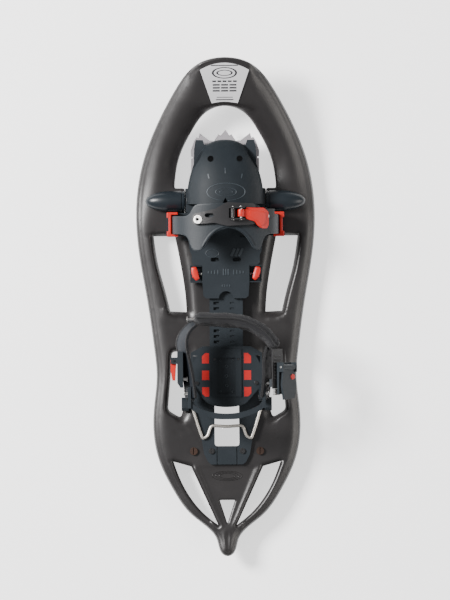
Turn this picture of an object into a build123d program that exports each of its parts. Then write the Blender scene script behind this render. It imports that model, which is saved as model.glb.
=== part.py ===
from build123d import *
import os

# A moulded snowshoe with a pivoting, length-adjustable binding. Millimetres.
# X is across (right positive), Y runs from the tail to the toe, Z is up.
# The origin is the centre of the ground rectangle, at the tips of the deck spikes.

# ---- driving dimensions -------------------------------------------------
LENGTH = 630.0            # tail to toe
DECK_BOTTOM = 10.0        # underside of the deck's flat middle
DECK_TOP = 30.0           # top of the deck's flat middle
DECK_SKIN = 3.0           # top skin of the moulded deck
DECK_WALL = 3.5           # side walls of the moulded deck

PIVOT_Y, PIVOT_Z = 134.0, 37.0      # the binding's hinge line
AXLE_R = 4.0
BUSH_R = 6.5
RUNNING_GAP = 0.05
BOSS_R = 13.0
BOSS_IN, BOSS_OUT = 51.5, 101.0

PLATE_LOW, FOOT_TOP = 44.0, 49.0    # the binding's foot plate
RAIL_LOW, RAIL_TOP = 37.0, 42.8     # the length rail below it
RAIL_HALF = 21.0
HEEL_LOW = 43.0
REST_TOP = 34.0                     # top of the heel rest plate on the deck

ARCH_HALF, ARCH_RISE = 64.0, 34.5   # inside of the forefoot saddle's arch
ARCH_BASE, ARCH_SPRING = 47.2, 62.0
SADDLE_T = 3.0
STRAP_LOW, STRAP_TOP = 3.2, 5.2     # heights above the arch's inside
BUCKLE_LOW, BUCKLE_TOP = 6.4, 9.4
LUG_TOP = 17.0
LEVER_LOW, LEVER_TOP = 10.2, 13.6
LEVER_PIN = (19.5, 108.0)           # X, Z of the strap lever's pin
PAWL_PIN = (9.5, 107.0)
PIN_R = 1.5
LEVER_Y0, LEVER_Y1 = 112.3, 123.7   # between the buckle's lugs

CUP_Y, CUP_Z = -113.0, 52.5         # the heel cup's hinge
CUP_RIVET_R = 2.5
WIRE_R = 2.0
WIRE_Y, WIRE_Z = -122.4, 36.3       # the heel lifter's hinge
BAND_LOW, BAND_TOP = 84.0, 106.0    # the ankle straps

os.makedirs("parts", exist_ok=True)


# ---- helpers ------------------------------------------------------------
def block(x0, x1, y0, y1, z0, z1):
    """A box between two corners."""
    size = Box(x1 - x0, y1 - y0, z1 - z0)
    return Pos((x0 + x1) / 2, (y0 + y1) / 2, (z0 + z1) / 2) * size


def prism(face, z0, z1):
    """A plan outline made solid between two heights."""
    return Pos(0, 0, z0) * extrude(face, amount=z1 - z0)


def polygon(*points, round_to=0.0):
    """A closed plan outline, with its corners rounded if asked."""
    face = make_face(Polyline(*points, close=True))
    return fillet(face.vertices(), round_to) if round_to else face


def both(solid):
    """The solid and its mirror image on the other side."""
    return solid + mirror(solid, about=Plane.YZ)


def side_plate(points, x0, x1):
    """A Y-Z outline made solid between two X positions."""
    face = Plane.YZ * make_face(Polyline(*points, close=True))
    return Pos(x0, 0, 0) * extrude(face, amount=x1 - x0)


def rod_x(radius, x0, x1, y, z):
    """A round bar along X."""
    return Pos((x0 + x1) / 2, y, z) * Rot(0, 90, 0) * Cylinder(radius, abs(x1 - x0))


def rod_y(radius, y0, y1, x, z):
    """A round bar along Y."""
    return Pos(x, (y0 + y1) / 2, z) * Rot(90, 0, 0) * Cylinder(radius, abs(y1 - y0))


def rod_z(radius, z0, z1, x, y):
    """A round bar along Z."""
    return Pos(x, y, (z0 + z1) / 2) * Cylinder(radius, z1 - z0)


def strip(points, width):
    """A plan strip of the given width along a smooth line through points."""
    line = Spline(*points)
    stations = [i / (len(points) - 1) for i in range(len(points))]
    across = [(line % t).rotate(Axis.Z, 90) * (width / 2) for t in stations]
    left = Spline(*[line @ t + step for t, step in zip(stations, across)])
    right = Spline(*[line @ t - step for t, step in zip(stations, across)])
    return make_face([left, right, Line(left @ 0, right @ 0), Line(left @ 1, right @ 1)])


# ---- deck ---------------------------------------------------------------
OUTLINE = [(0, 315), (35, 306), (62, 275), (84, 235), (104, 184), (113, 125), (110, 70),
           (100, 10), (91, -55), (88.5, -88), (92, -125), (93, -155), (87, -191), (69, -230),
           (46, -262), (22, -282), (14.5, -292), (11, -304), (6.5, -312.5), (0, -315)]
TOP_LINE = [(-316, 40), (-280, 34), (-220, 30), (-100, 30), (120, 30), (160, 32.5),
            (200, 40), (250, 57), (290, 73), (316, 84)]
BOTTOM_LINE = [(-316, 28), (-280, 18), (-230, 11), (-100, 10), (120, 10), (160, 12),
               (200, 20), (250, 39), (290, 57), (316, 71)]
# The screws and spikes are given on the right and repeated on the left.
SPIKES = [(42, -182), (60, -30), (82, 118)]
RIBS_Y = [-256, -216, -158, -118, -78, -31, 20, 60, 170, 205, 240, 275]
SCREWED_SPIKE = SPIKES[0]
REST_SCREWS = [(side * x, y) for x, y in [(19.5, -182), (37, -72)] for side in (-1, 1)]


def lifted(line, by):
    """A height line moved up or down."""
    return [(y, z + by) for y, z in line]


def smooth(points, pieces, **options):
    """Points evenly spaced along a smooth line through a few given ones."""
    line = Spline(*points, **options)
    return [tuple(line @ (i / pieces))[:2] for i in range(pieces + 1)]


def mirrored(half):
    """A closed outline from its right half, which starts and ends on the centre line."""
    left = [(-x, y) for x, y in half[::-1] if x > 0.01]
    return make_face(Polyline(*half, *left, close=True))


def layer(top, bottom):
    """The curved slab between two height lines, wider than the deck."""
    upper, lower = smooth(top, 24), smooth(bottom, 24)
    return extrude(Plane.YZ * make_face(Polyline(*upper, *lower[::-1], close=True)), amount=130, both=True)


def deck_outline():
    left = [(-x, y) for x, y in OUTLINE[-2:0:-1]]
    right_half = smooth([*OUTLINE, *left], 128, periodic=True)[:65]
    return mirrored([(0, LENGTH / 2), *right_half[1:-1], (0, -LENGTH / 2)])


def front_opening():
    edge = smooth([(0, 254), (25, 245), (41, 224), (52, 204), (60, 182), (64, 156)], 16,
                  tangents=[(1, 0), (0.05, -1)])
    return mirrored([(0, 254), *edge[1:], (64, 150.5), (51.5, 150.5), (51.5, 88), (0, 88)])


def side_openings():
    outer = smooth([(91, 90), (85, 52), (77, 22), (70.5, -5)], 6)
    inner = smooth([(50, -6), (51, 11), (55, 42), (64, 90)], 6)
    front = polygon(*outer, *inner)
    rear = polygon((69, -56), (71, -90), (74.5, -130), (58, -140), (51.5, -115), (49, -56),
                   round_to=3)
    tail_edge = smooth([(11.5, -276), (29, -262), (46, -242), (57.5, -222), (68, -195)], 10)
    tail = polygon((45.5, -201.5), *tail_edge)
    return [both(front), both(rear), both(tail)]


def tail_triangle():
    return polygon((-9.8, -244), (9.8, -244), (0, -274), round_to=1)


def centre_window():
    return polygon((-15.5, -60), (15.5, -60), (15.5, -176), (-15.5, -176), round_to=3)


def spike_places():
    return [(side * x, y) for x, y in SPIKES for side in (-1, 1)]


def deck_frame():
    plan = deck_outline() - front_opening() - tail_triangle() - centre_window()
    for opening in side_openings():
        plan -= opening
    frame = extrude(plan, amount=100) & layer(TOP_LINE, BOTTOM_LINE)
    body = plan & (Pos(0, 63) * Rectangle(250, 510))
    hollow = offset(body, amount=-DECK_WALL, kind=Kind.INTERSECTION)
    hollow += polygon((-38, -205), (38, -205), (22, -240.5), (-22, -240.5))
    for y in RIBS_Y:
        hollow -= Pos(0, y) * Rectangle(260, 2.5)
    for x, y in spike_places():
        hollow -= Pos(x, y) * Circle(8)
    for x, y in REST_SCREWS:
        hollow -= Pos(x, y) * Circle(5)
    for side in (-1, 1):
        hollow -= Pos(side * 77, PIVOT_Y) * Rectangle(54, 32)
    skin_line = lifted(TOP_LINE, -DECK_SKIN)
    frame -= extrude(hollow, amount=100) & layer(skin_line, lifted(BOTTOM_LINE, -20))
    tail_ridge = polygon((45.5, -201.5), (11.5, -276), (6.5, -276), (35.5, -203))
    ridges = both(prism(tail_ridge, 20, 60)) & layer(lifted(TOP_LINE, 2.5), lifted(TOP_LINE, -1))
    frame += ridges
    for x, y in spike_places():
        frame -= rod_z(3.5, 0, DECK_BOTTOM + 10, x, y)
        frame -= rod_z(7, 0, DECK_BOTTOM, x, y)
    for side in (-1, 1):
        frame -= rod_z(2, 15, 40, side * SCREWED_SPIKE[0], SCREWED_SPIKE[1])
        frame -= pivot_boss_blank(side)
    for x, y in REST_SCREWS:
        frame -= rod_z(1.8, 17, 40, x, y)
    return frame


def nose_badge():
    face = make_face([ThreePointArc((-31, 300), (0, 310.5), (31, 300)), Line((31, 300), (16.5, 257)),
                      ThreePointArc((16.5, 257), (0, 259), (-16.5, 257)), Line((-16.5, 257), (-31, 300))])
    face = fillet(face.vertices(), 2)
    return extrude(face, amount=120) & layer(lifted(TOP_LINE, 1.5), lifted(TOP_LINE, 0.02))


# ---- pivot --------------------------------------------------------------
def pivot_boss_blank(side):
    """The bullet-shaped housing that carries the binding's axle."""
    profile = make_face([Line((BOSS_IN, 0), (BOSS_IN, BOSS_R)), Line((BOSS_IN, BOSS_R), (70, BOSS_R)),
                         Spline((70, BOSS_R), (88, 9.5), (BOSS_OUT, 0), tangents=[(1, 0), (0.35, -1)]),
                         Line((BOSS_OUT, 0), (BOSS_IN, 0))])
    boss = Pos(0, PIVOT_Y, PIVOT_Z) * revolve(profile, axis=Axis.X)
    return boss if side > 0 else mirror(boss, about=Plane.YZ)


def pivot_boss(side):
    return pivot_boss_blank(side) - rod_x(BUSH_R, side * 50, side * 73, PIVOT_Y, PIVOT_Z)


def pivot_bush(side):
    ring = rod_x(BUSH_R, side * BOSS_IN, side * 73, PIVOT_Y, PIVOT_Z)
    return ring - rod_x(AXLE_R + RUNNING_GAP, side * 50, side * 71, PIVOT_Y, PIVOT_Z)


def pivot_axle():
    return rod_x(AXLE_R, -70, 70, PIVOT_Y, PIVOT_Z)


# ---- parts fixed to the deck ---------------------------------------------
def heel_rest_plate():
    half = [(0, -62), (44, -62), (44, -116), (41, -135), (32, -168), (29, -186), (24, -196),
            (20, -199), (0, -199)]
    plan = make_face(Polyline(*half, close=True))
    plan = plan + mirror(plan, about=Plane.YZ) - centre_window()
    plate = prism(plan, DECK_TOP, REST_TOP)
    for side in (-1, 1):
        plate -= block(side * 12.5 - 0.6, side * 12.5 + 0.6, -199, -177, REST_TOP - 1, REST_TOP)
    for x, y in REST_SCREWS:
        plate -= rod_z(1.8, 20, 40, x, y)
    return plate


def rest_plate_screws():
    screws = []
    for x, y in REST_SCREWS:
        head = rod_z(3.6, REST_TOP, REST_TOP + 1.6, x, y) - block(x - 0.5, x + 0.5, y - 3, y + 3, 35, 40)
        screws.append(head + rod_z(1.8, 18, REST_TOP, x, y))
    return screws[0] + screws[1:]


def deck_spikes():
    spikes = []
    for x, y in spike_places():
        tooth = Pos(x, y, 4) * Cone(1.2, 5.5, 8)
        spike = tooth + rod_z(7, 7.5, DECK_BOTTOM, x, y) + rod_z(3.5, DECK_BOTTOM, DECK_BOTTOM + 10, x, y)
        if (abs(x), y) == SCREWED_SPIKE:
            spike -= rod_z(2, 13, 30, x, y)
        spikes.append(spike)
    return spikes[0] + spikes[1:]


def spike_screws():
    screws = []
    for side in (-1, 1):
        x, y = side * SCREWED_SPIKE[0], SCREWED_SPIKE[1]
        head = rod_z(5, DECK_TOP, DECK_TOP + 2.5, x, y) - block(x - 0.7, x + 0.7, y - 4, y + 4, 31.5, 40)
        screws.append(head + rod_z(2, 13, DECK_TOP, x, y))
    return screws[0] + screws[1:]


def lifter_clip(side):
    """The block on the deck that holds one end of the lifter wire."""
    body = side_plate([(-131, DECK_TOP), (-114, DECK_TOP), (-114, 37), (-118, 40.8), (-127, 40.8),
                       (-131, 37)], 47.8, 57)
    body -= rod_x(WIRE_R + RUNNING_GAP, 40, 54.3, WIRE_Y, WIRE_Z)
    return body if side > 0 else mirror(body, about=Plane.YZ)


def heel_lifter():
    """A wire bail that stands up under the heel plate on steep ground."""
    half = [(54, WIRE_Y), (44.6, WIRE_Y), (36, -151), (30.7, -166.5), (24.5, -163), (20, -149.5), (0, -151)]
    route = [(x, y, WIRE_Z) for x, y in half] + [(-x, y, WIRE_Z) for x, y in half[-2::-1]]
    bends = [3.4, 20, 4, 4, 4, 60, 4, 4, 4, 20, 3.4]
    path = FilletPolyline(*route, radius=bends)
    return sweep(Plane(origin=path @ 0, z_dir=path % 0) * Circle(WIRE_R), path=path)


# ---- binding: foot plate, claw, axle -------------------------------------
def binding_plan():
    half = [(0, 205), (26, 205), (28, 211), (37, 211), (39, 200), (40, 165), (46, 150), (48, 118),
            (48, 90), (45, 70), (43, 66), (43, 56), (40, 53), (29.7, 53), (29.7, 31), (28.5, 14),
            (25, 11), (0, 11)]
    plan = make_face(Polyline(*half, close=True))
    return plan + mirror(plan, about=Plane.YZ) - Pos(0, 11) * Circle(9)


def binding_chassis():
    plan = binding_plan()
    for side in (-1, 1):
        plan -= Pos(side * 14, 60) * RectangleRounded(10, 5, 2)
        for y in (98, 150):
            plan -= Pos(side * 24, y) * RectangleRounded(14, 20, 3)
    chassis = prism(plan, PLATE_LOW, FOOT_TOP)
    for side in (-1, 1):
        outer, inner = sorted((side * 75, side * 44)), sorted((side * 50, side * 44))
        chassis += block(*outer, 90, 119, 42, 47)
        chassis += block(*inner, 120, 150, 26, FOOT_TOP)
        guide = sorted((side * 21.3, side * 24.5))
        chassis += block(*guide, 15, 72, 34.8, PLATE_LOW + 1)
        lip = sorted((side * 17.5, side * 24.5))
        chassis += block(*lip, 15, 72, 34.8, 36.7)
        wall = sorted((side * 28, side * 45))
        chassis += block(*wall, 31, 32.6, 36, FOOT_TOP - 1)
        chassis += block(*wall, 51.4, 53, 36, FOOT_TOP - 1)
        chassis += block(*wall, 31, 53, 36, 37.6)
        chassis -= rod_z(2.2, 38, 60, side * 18.3, 187)
        chassis -= rod_z(2.2, 38, 60, side * 30, 122)
    chassis -= rod_x(AXLE_R, -60, 60, PIVOT_Y, PIVOT_Z)
    return chassis


CLAW_TEETH = [(14, 210), (8.2, 218.8), (5.6, 217), (0.9, 224.4), (-5.6, 217), (-8.2, 218.8), (-14, 210)]
CLAW_T = 2.0


def toe_crampon():
    """A folded steel claw: a top plate, a raked toothed front and two toothed sides."""
    plate = polygon((-41, 114), (41, 114), (41, 190), (34, 198), (-34, 198), (-41, 190))
    claw = prism(plate, PLATE_LOW - CLAW_T, PLATE_LOW)
    right = [(43, 190), (43.3, 198), (38.9, 210.5), (35.9, 215.3), (33.6, 213.8), (31.8, 220),
             (19.4, 210.5), (16.2, 210.5)]
    left = [(-x, y) for x, y in right[::-1]]
    front = prism(polygon(*right, *CLAW_TEETH, *left), 5, PLATE_LOW)
    rake = [(190, 44), (198, 44), (225.4, 18.5), (224, 17), (197.2, 42), (190, 42)]
    claw += front & side_plate(rake, -60, 60)
    tooth_line = [(188, 44), (114, 44), (114, 30), (119, 4), (126, 17), (133, 17), (140, 2.5), (147, 17),
                  (157, 17), (164, 3), (171, 20), (180, 22), (188, 36)]
    claw += both(side_plate(tooth_line, 41, 43))
    claw -= rod_x(AXLE_R, -60, 60, PIVOT_Y, PIVOT_Z)
    for side in (-1, 1):
        claw -= rod_z(2.2, 30, 60, side * 18.3, 187)
        claw -= rod_z(2.2, 30, 60, side * 30, 122)
    return claw


def claw_rivets():
    rivets = []
    for x in (-30, 30):
        rivets.append(rod_z(2.2, PLATE_LOW - CLAW_T, FOOT_TOP, x, 122) + rod_z(4, 40.5, 42, x, 122))
    return rivets[0] + rivets[1]


# ---- toe cap --------------------------------------------------------------
CAP_SECTIONS = [(208, 27, 5), (194, 35, 18), (174, 42.5, 29), (150, 47.5, 35), (130, 48.5, 37)]
CAP_T = 3.0


def cap_half_round(y, half_width, height):
    plane = Plane(origin=(0, y, FOOT_TOP), x_dir=(1, 0, 0), z_dir=(0, -1, 0))
    upper_half = Pos(0, height) * Rectangle(4 * half_width, 2 * height)
    return plane * (Ellipse(half_width, height) & upper_half)


def toe_cap():
    outer = loft([cap_half_round(*section) for section in CAP_SECTIONS])
    inner = [(y - 1, w - CAP_T, h - CAP_T) for y, w, h in CAP_SECTIONS[1:]]
    room = loft([cap_half_round(*section) for section in [(203, 24, 4)] + inner])
    cap = outer - room - block(-60, 60, 120, 130, 40, 100)
    for side in (-1, 1):
        post = rod_z(6.5, FOOT_TOP, 90, side * 18.3, 187) & outer
        cap += post
        cap -= rod_z(4.4, 54, 100, side * 18.3, 187)
        cap -= rod_z(2.2, 45, 60, side * 18.3, 187)
        slot = Pos(side * 30, 184) * SlotOverall(22, 6, rotation=90)
        cap -= prism(slot, FOOT_TOP + 0.5, 90)
    cap -= prism(polygon((-7, 120), (7, 120), (0, 138)), 70, 100)
    return cap


def toe_cap_screws():
    screws = []
    for x in (-18.3, 18.3):
        head = rod_z(4, 54, 57, x, 187) - Pos(x, 187, 57) * extrude(RegularPolygon(2, 6), amount=-2)
        screws.append(head + rod_z(2.2, PLATE_LOW - CLAW_T, 54, x, 187))
    return screws[0] + screws[1]


# ---- forefoot saddle and its ratchet ---------------------------------------
def arch_region(height):
    """The filled arch whose surface stands the given height above the saddle's inside."""
    half = ARCH_HALF + height
    dome = Pos(0, ARCH_SPRING) * Ellipse(half, ARCH_RISE + height)
    upper = dome & (Pos(0, ARCH_SPRING + 60) * Rectangle(300, 120))
    legs = Pos(0, (ARCH_BASE + ARCH_SPRING) / 2) * Rectangle(2 * half, ARCH_SPRING - ARCH_BASE)
    return upper + legs


def arch_band(low, high, plan):
    """The part of an arched layer that lies over a plan outline."""
    ring = arch_region(high) - arch_region(low)
    return extrude(Plane.XZ * ring, amount=200, both=True) & extrude(plan, amount=200)


def saddle_plan():
    front = Spline((0, 125), (26, 126), (46, 122), (57.5, 116), tangents=[(1, 0), (0.8, -0.6)])
    corner = Polyline((57.5, 116), (68, 116), (68, 93), (59, 93))
    rear = Spline((59, 93), (54, 80), (43, 72), (33, 79), (20, 91), (0, 94), tangents=[(-0.3, -1), (-1, 0)])
    half = make_face([front, *corner.edges(), rear, Line((0, 94), (0, 125))])
    return half + mirror(half, about=Plane.YZ)


def forefoot_saddle():
    saddle = arch_band(0, SADDLE_T, saddle_plan())
    saddle -= rod_z(3, 80, 120, -35, 110.6)
    return saddle - rod_z(1.6, 60, 120, 52, 114)


def buckle_plan():
    return polygon((-41.5, 104), (-41.5, 117), (-12, 124), (2, 132), (38, 130), (38, 104), (2, 102),
                   (-14, 106), round_to=4)


def strap_buckle_plate():
    plate = arch_band(BUCKLE_LOW, BUCKLE_TOP, buckle_plan())
    lugs = [Pos(14.7, y) * Rectangle(19.6, 2) for y in (110.9, 125.1)]
    plate += arch_band(BUCKLE_LOW, LUG_TOP, lugs[0] + lugs[1])
    plate -= prism(Pos(18, 118) * Rectangle(27, 12.4), 60, 130)
    plate -= prism(Pos(-20.5, 115.5) * SlotOverall(11, 5), 60, 130)
    plate -= rod_z(3, 80, 120, -35, 110.6)
    for x, z in (LEVER_PIN, PAWL_PIN):
        plate -= rod_y(PIN_R, 100, 130, x, z)
    return plate


def strap_rivet():
    tube = rod_z(3, 84, 101.5, -35, 110.6)
    head = arch_band(BUCKLE_TOP, BUCKLE_TOP + 1.2, Pos(-35, 110.6) * Circle(5.2))
    washer = arch_band(SADDLE_T, BUCKLE_LOW, Pos(-35, 110.6) * Circle(5.2))
    return tube + head + washer - rod_z(1.8, 70, 120, -35, 110.6)


def toe_ladder_strap():
    """The toothed strap that the ratchet pulls."""
    body = Pos(34, 118) * Rectangle(56, 11) - Pos(52, 114) * Circle(1.6)
    strap = arch_band(STRAP_LOW, STRAP_TOP, body)
    teeth = [Pos(9 + 4 * i, 118) * Rectangle(1.6, 10) for i in range(10)]
    return strap + arch_band(STRAP_LOW, STRAP_TOP + 0.9, teeth[0] + teeth[1:])


def ladder_rivet():
    head = arch_band(STRAP_TOP, STRAP_TOP + 1.3, Pos(52, 114) * Circle(3.2))
    shank = arch_band(0, STRAP_TOP, Pos(52, 114) * Circle(1.6))
    return head + shank


def strap_lever():
    body = polygon((26.5, 102), (31, 98.5), (50, 101), (54.5, 108), (54.5, 118), (51, 124),
                   (31, 126), (26.5, 124), round_to=1.8)
    neck = Pos(25, 118) * Rectangle(9, LEVER_Y1 - LEVER_Y0)
    lever = arch_band(LEVER_LOW, LEVER_TOP, body + neck)
    lever -= prism(Pos(43, 112) * Ellipse(5, 7), 60, 130)
    knuckle = rod_y(4, LEVER_Y0, LEVER_Y1, *LEVER_PIN)
    x, z = LEVER_PIN
    web = block(x, x + 4, LEVER_Y0, LEVER_Y1, z - 3.6, z)
    return lever + knuckle + web - rod_y(PIN_R + RUNNING_GAP, 100, 130, *LEVER_PIN)


def buckle_pawl():
    x, z = PAWL_PIN
    beak = [(x - 2, z), (x + 2.8, z), (x + 5, z - 2.5), (x + 5, z - 4.3), (x + 2.8, z - 4.3), (x - 2, z - 2.2)]
    face = Plane.XZ * make_face(Polyline(*beak, close=True))
    body = Pos(0, LEVER_Y1, 0) * extrude(face, amount=LEVER_Y1 - LEVER_Y0)
    return body + rod_y(2.8, LEVER_Y0, LEVER_Y1, x, z) - rod_y(PIN_R + RUNNING_GAP, 100, 130, x, z)


def buckle_pins():
    return rod_y(PIN_R, 109.2, 126.8, *LEVER_PIN) + rod_y(PIN_R, 109.2, 126.8, *PAWL_PIN)


def saddle_clip(side):
    """The release clip round one foot of the saddle."""
    back = block(68.2, 74, 89, 120, 47.2, 61)
    waist = block(71.8, 80, 96, 113, 40, 70)
    jaws = block(60, 70, 89, 92.4, 47.2, 61) + block(60, 70, 116.6, 120, 47.2, 61)
    clip = back + jaws - waist
    return clip if side > 0 else mirror(clip, about=Plane.YZ)


# ---- length adjuster -------------------------------------------------------
def length_button(side):
    key = Pos(38.5, 42) * RectangleRounded(11, 17.8, 2)
    button = prism(key, 37.8, FOOT_TOP - 0.5)
    button -= block(42.6, 50, 34, 50, FOOT_TOP - 2.2, FOOT_TOP)
    button -= rod_x(2.6, 32, 38, 42, 41.5)
    return button if side > 0 else mirror(button, about=Plane.YZ)


def button_spring(side):
    """The coil that pushes the button back out, as its outer tube."""
    coil = rod_x(2.3, 29.8, 37.9, 42, 41.5) - rod_x(1.5, 29, 39, 42, 41.5)
    return coil if side > 0 else mirror(coil, about=Plane.YZ)


RAIL_FRONT, RAIL_REAR = 74.0, -76.0
NOTCH_PITCH = 7.0


def length_rail():
    rail = block(-RAIL_HALF, RAIL_HALF, RAIL_REAR, RAIL_FRONT, RAIL_LOW, RAIL_TOP)
    rail -= block(-10, 10, 20, 66, RAIL_LOW - 1, RAIL_TOP + 1)
    for i in range(8):
        y = -44 + NOTCH_PITCH * i
        rail -= block(-16, -9, y - 1.8, y + 1.8, RAIL_TOP - 3.5, RAIL_TOP + 1)
        rail -= block(5, 10, y - 1.2, y + 1.2, RAIL_TOP - 1.2, RAIL_TOP + 1)
    for x in (-15, 15):
        rail -= rod_z(1.8, 30, 50, x, -66)
    return rail


# ---- heel plate ------------------------------------------------------------
PAD_ROWS = [(-58, -71), (-80, -92), (-101, -113)]


def pad_plan(side, row):
    y0, y1 = PAD_ROWS[row]
    cut_front, cut_rear = (4, 0) if row == 0 else (0, 4 if row == 2 else 0)
    return polygon((side * 22, y0), (side * (31 - cut_front), y0), (side * 31, y0 - cut_front - 0.01),
                   (side * 31, y1 + cut_rear + 0.01), (side * (31 - cut_rear - 0.01), y1), (side * 22, y1))


def pad_places():
    return [(side, row) for side in (-1, 1) for row in range(3)]


def heel_plate():
    half = make_face([Line((0, -49.5), (30, -49.5)), Line((30, -49.5), (45, -57.5)),
                      Line((45, -57.5), (45, -98)), Line((45, -98), (26, -120)),
                      Spline((26, -120), (14, -125), (0, -126.3), tangents=[(-0.8, -0.6), (-1, 0)]),
                      Line((0, -126.3), (0, -49.5))])
    plan = half + mirror(half, about=Plane.YZ)
    for place in pad_places():
        plan -= pad_plan(*place)
    for side in (-1, 1):
        plan -= polygon((side * 37, -61), (side * 42.5, -61), (side * 42.5, -71.5))
    plate = prism(plan, HEEL_LOW, FOOT_TOP)
    panel = Pos(0, -83) * Rectangle(38, 60.5)
    plate += prism(panel, FOOT_TOP - 1, FOOT_TOP + 1.5)
    plate -= block(-11.5, 11.5, -110, -64, FOOT_TOP - 1, FOOT_TOP + 5)
    ear = [(-97, HEEL_LOW), (-97, FOOT_TOP), (-106, 58.5), (-116, 58.5), (-118.6, 55), (-118.6, 49),
           (-116, 46), (-108, HEEL_LOW)]
    plate += both(side_plate(ear, 40.5, 44.5))
    for side in (-1, 1):
        plate -= rod_x(CUP_RIVET_R, side * 35, side * 50, CUP_Y, CUP_Z)
        plate -= rod_z(1.8, 35, 60, side * 15, -66)
        plate -= rod_z(1.3, 35, 60, side * 37.5, -96)
    return plate


def heel_pads():
    pads = [prism(pad_plan(*place), REST_TOP + 0.4, FOOT_TOP - 0.1) for place in pad_places()]
    return pads[0] + pads[1:]


def heel_screws():
    screws = []
    for side in (-1, 1):
        screws.append(rod_z(1.8, RAIL_LOW, FOOT_TOP + 1, side * 15, -66))
        trim = rod_z(1.3, HEEL_LOW, FOOT_TOP, side * 37.5, -96)
        screws.append(trim + rod_z(2.6, FOOT_TOP, FOOT_TOP + 1.2, side * 37.5, -96))
    return screws[0] + screws[1:]


def cup_rivets():
    rivets = []
    for side in (-1, 1):
        shank = rod_x(CUP_RIVET_R, side * 39.5, side * 50.2, CUP_Y, CUP_Z)
        rivets.append(shank + rod_x(4.5, side * 49.2, side * 50.6, CUP_Y, CUP_Z))
    return rivets[0] + rivets[1]


# ---- heel cup and ankle strap -----------------------------------------------
ARM_IN, ARM_OUT = 44.8, 48.9


def heel_cup():
    arm = [(-107, 51), (-108, 58), (-112, 72), (-113, BAND_TOP), (-127, BAND_TOP), (-127, BAND_LOW),
           (-122, 66), (-119, 54), (-117.5, 48), (-113, 46.5), (-108.5, 48)]
    outer = make_face([Line((ARM_OUT, -100), (ARM_OUT, -118)),
                       Spline((ARM_OUT, -118), (39, -132), (20, -139), (0, -141),
                              tangents=[(0, -1), (-1, 0)]),
                       Line((0, -141), (0, -134)),
                       Spline((0, -134), (19, -132), (36, -126), (ARM_IN, -114),
                              tangents=[(1, 0), (0, 1)]),
                       Line((ARM_IN, -114), (ARM_IN, -100)), Line((ARM_IN, -100), (ARM_OUT, -100))])
    band = prism(outer, BAND_LOW + 3, BAND_TOP - 2)
    cup = both(side_plate(arm, ARM_IN, ARM_OUT) + band)
    for side in (-1, 1):
        cup -= rod_x(CUP_RIVET_R + RUNNING_GAP, side * 40, side * 52, CUP_Y, CUP_Z)
    return less_ankle_rivets(cup)


ARM_T = 2.6
LEFT_ARM = [(-50.4, -116), (-51.2, -100), (-52.2, -84), (-53, -56), (-50.5, -36), (-44.9, -14)]
RIGHT_ARM = [(50.4, -116), (51.2, -100), (52.5, -84), (53.5, -66), (52, -56)]
# Each rivet runs along X: its start, its end, its head's start and end, its Y and its Z.
ANKLE_RIVETS = [(-45, -53.8, -52.6, -53.8, -108, 97), (45, 53.8, 52.6, 53.8, -108, 97),
                (-58, -48.8, -50.2, -48.8, -90, 97), (-38, -49.4, -48.2, -49.4, -15.5, 97),
                (58, 48.8, 49.9, 48.8, -96, 98)]


def less_ankle_rivets(solid):
    for start, end, _, _, y, z in ANKLE_RIVETS:
        solid -= rod_x(2, start, end, y, z)
    return solid


def ankle_arm_left():
    return less_ankle_rivets(prism(strip(LEFT_ARM, ARM_T), BAND_LOW, BAND_TOP))


def ankle_arm_right():
    return less_ankle_rivets(prism(strip(RIGHT_ARM, ARM_T), BAND_LOW, BAND_TOP))


def ratchet_anchor():
    """The block that carries the right ratchet on its arm."""
    wedge = [(53.6, 92), (54.5, 92), (64, 102.6), (58.3, 108.3), (53.6, 105)]
    face = Plane.XZ * make_face(Polyline(*wedge, close=True))
    return less_ankle_rivets(Pos(0, -91, 0) * extrude(face, amount=10))


def ankle_rivets():
    rivets = []
    for start, end, head0, head1, y, z in ANKLE_RIVETS:
        rivets.append(rod_x(2, start, end, y, z) + rod_x(3.6, head0, head1, y, z))
    return rivets[0] + rivets[1:]


def ankle_pad():
    front = Spline((-43, -6), (-12, -6), (20, -10), (43, -19.5), (62, -37), (70, -45))
    rear = Spline((52, -54), (36, -35), (20, -26.5), (0, -25), (-21, -23), (-40, -25.5))
    ends = [Line((70, -45), (52, -54)), Line((-40, -25.5), (-43, -6))]
    return less_ankle_rivets(prism(make_face([front, rear, *ends]), 88, 122))


# The right ratchet sits on a plane that leans outwards by 45 degrees.
RATCHET = Location((63, -90, 104), (0, 45, 0))


def on_ratchet(x0, x1, y0, y1, z0, z1):
    return RATCHET * block(x0, x1, y0, y1, z0, z1)


def ankle_ladder_strap():
    strap = on_ratchet(-9, 9, -13, 37, 0, 2)
    teeth = [on_ratchet(-6, 6, y - 0.8, y + 0.8, 1.5, 2.8) for y in range(0, 32, 4)]
    return strap + teeth


def ladder_teeth_plate():
    plate = on_ratchet(-7, 4, -21, -13.2, 0, 1.6)
    for i in range(4):
        plate -= on_ratchet(-7, -3.5, -19.6 + 2 * i, -18.8 + 2 * i, 0, 2)
    return plate


ANKLE_PIN_Y, ANKLE_PIN_Z = 14.0, 10.5


def ankle_buckle():
    """The ratchet's base with two lugs."""
    base = on_ratchet(-3, 22, -20, 20, 3.2, 5.2)
    lugs = on_ratchet(-3, -1, 8, 20, 4, 14.5) + on_ratchet(20, 22, 8, 20, 4, 14.5)
    foot = on_ratchet(-3, -1, -20, 8, 5, 7)
    pin = RATCHET * rod_x(PIN_R, -5, 25, ANKLE_PIN_Y, ANKLE_PIN_Z)
    return base + lugs + foot - pin


def ankle_pin():
    return RATCHET * rod_x(PIN_R, -3.6, 22.6, ANKLE_PIN_Y, ANKLE_PIN_Z)


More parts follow.
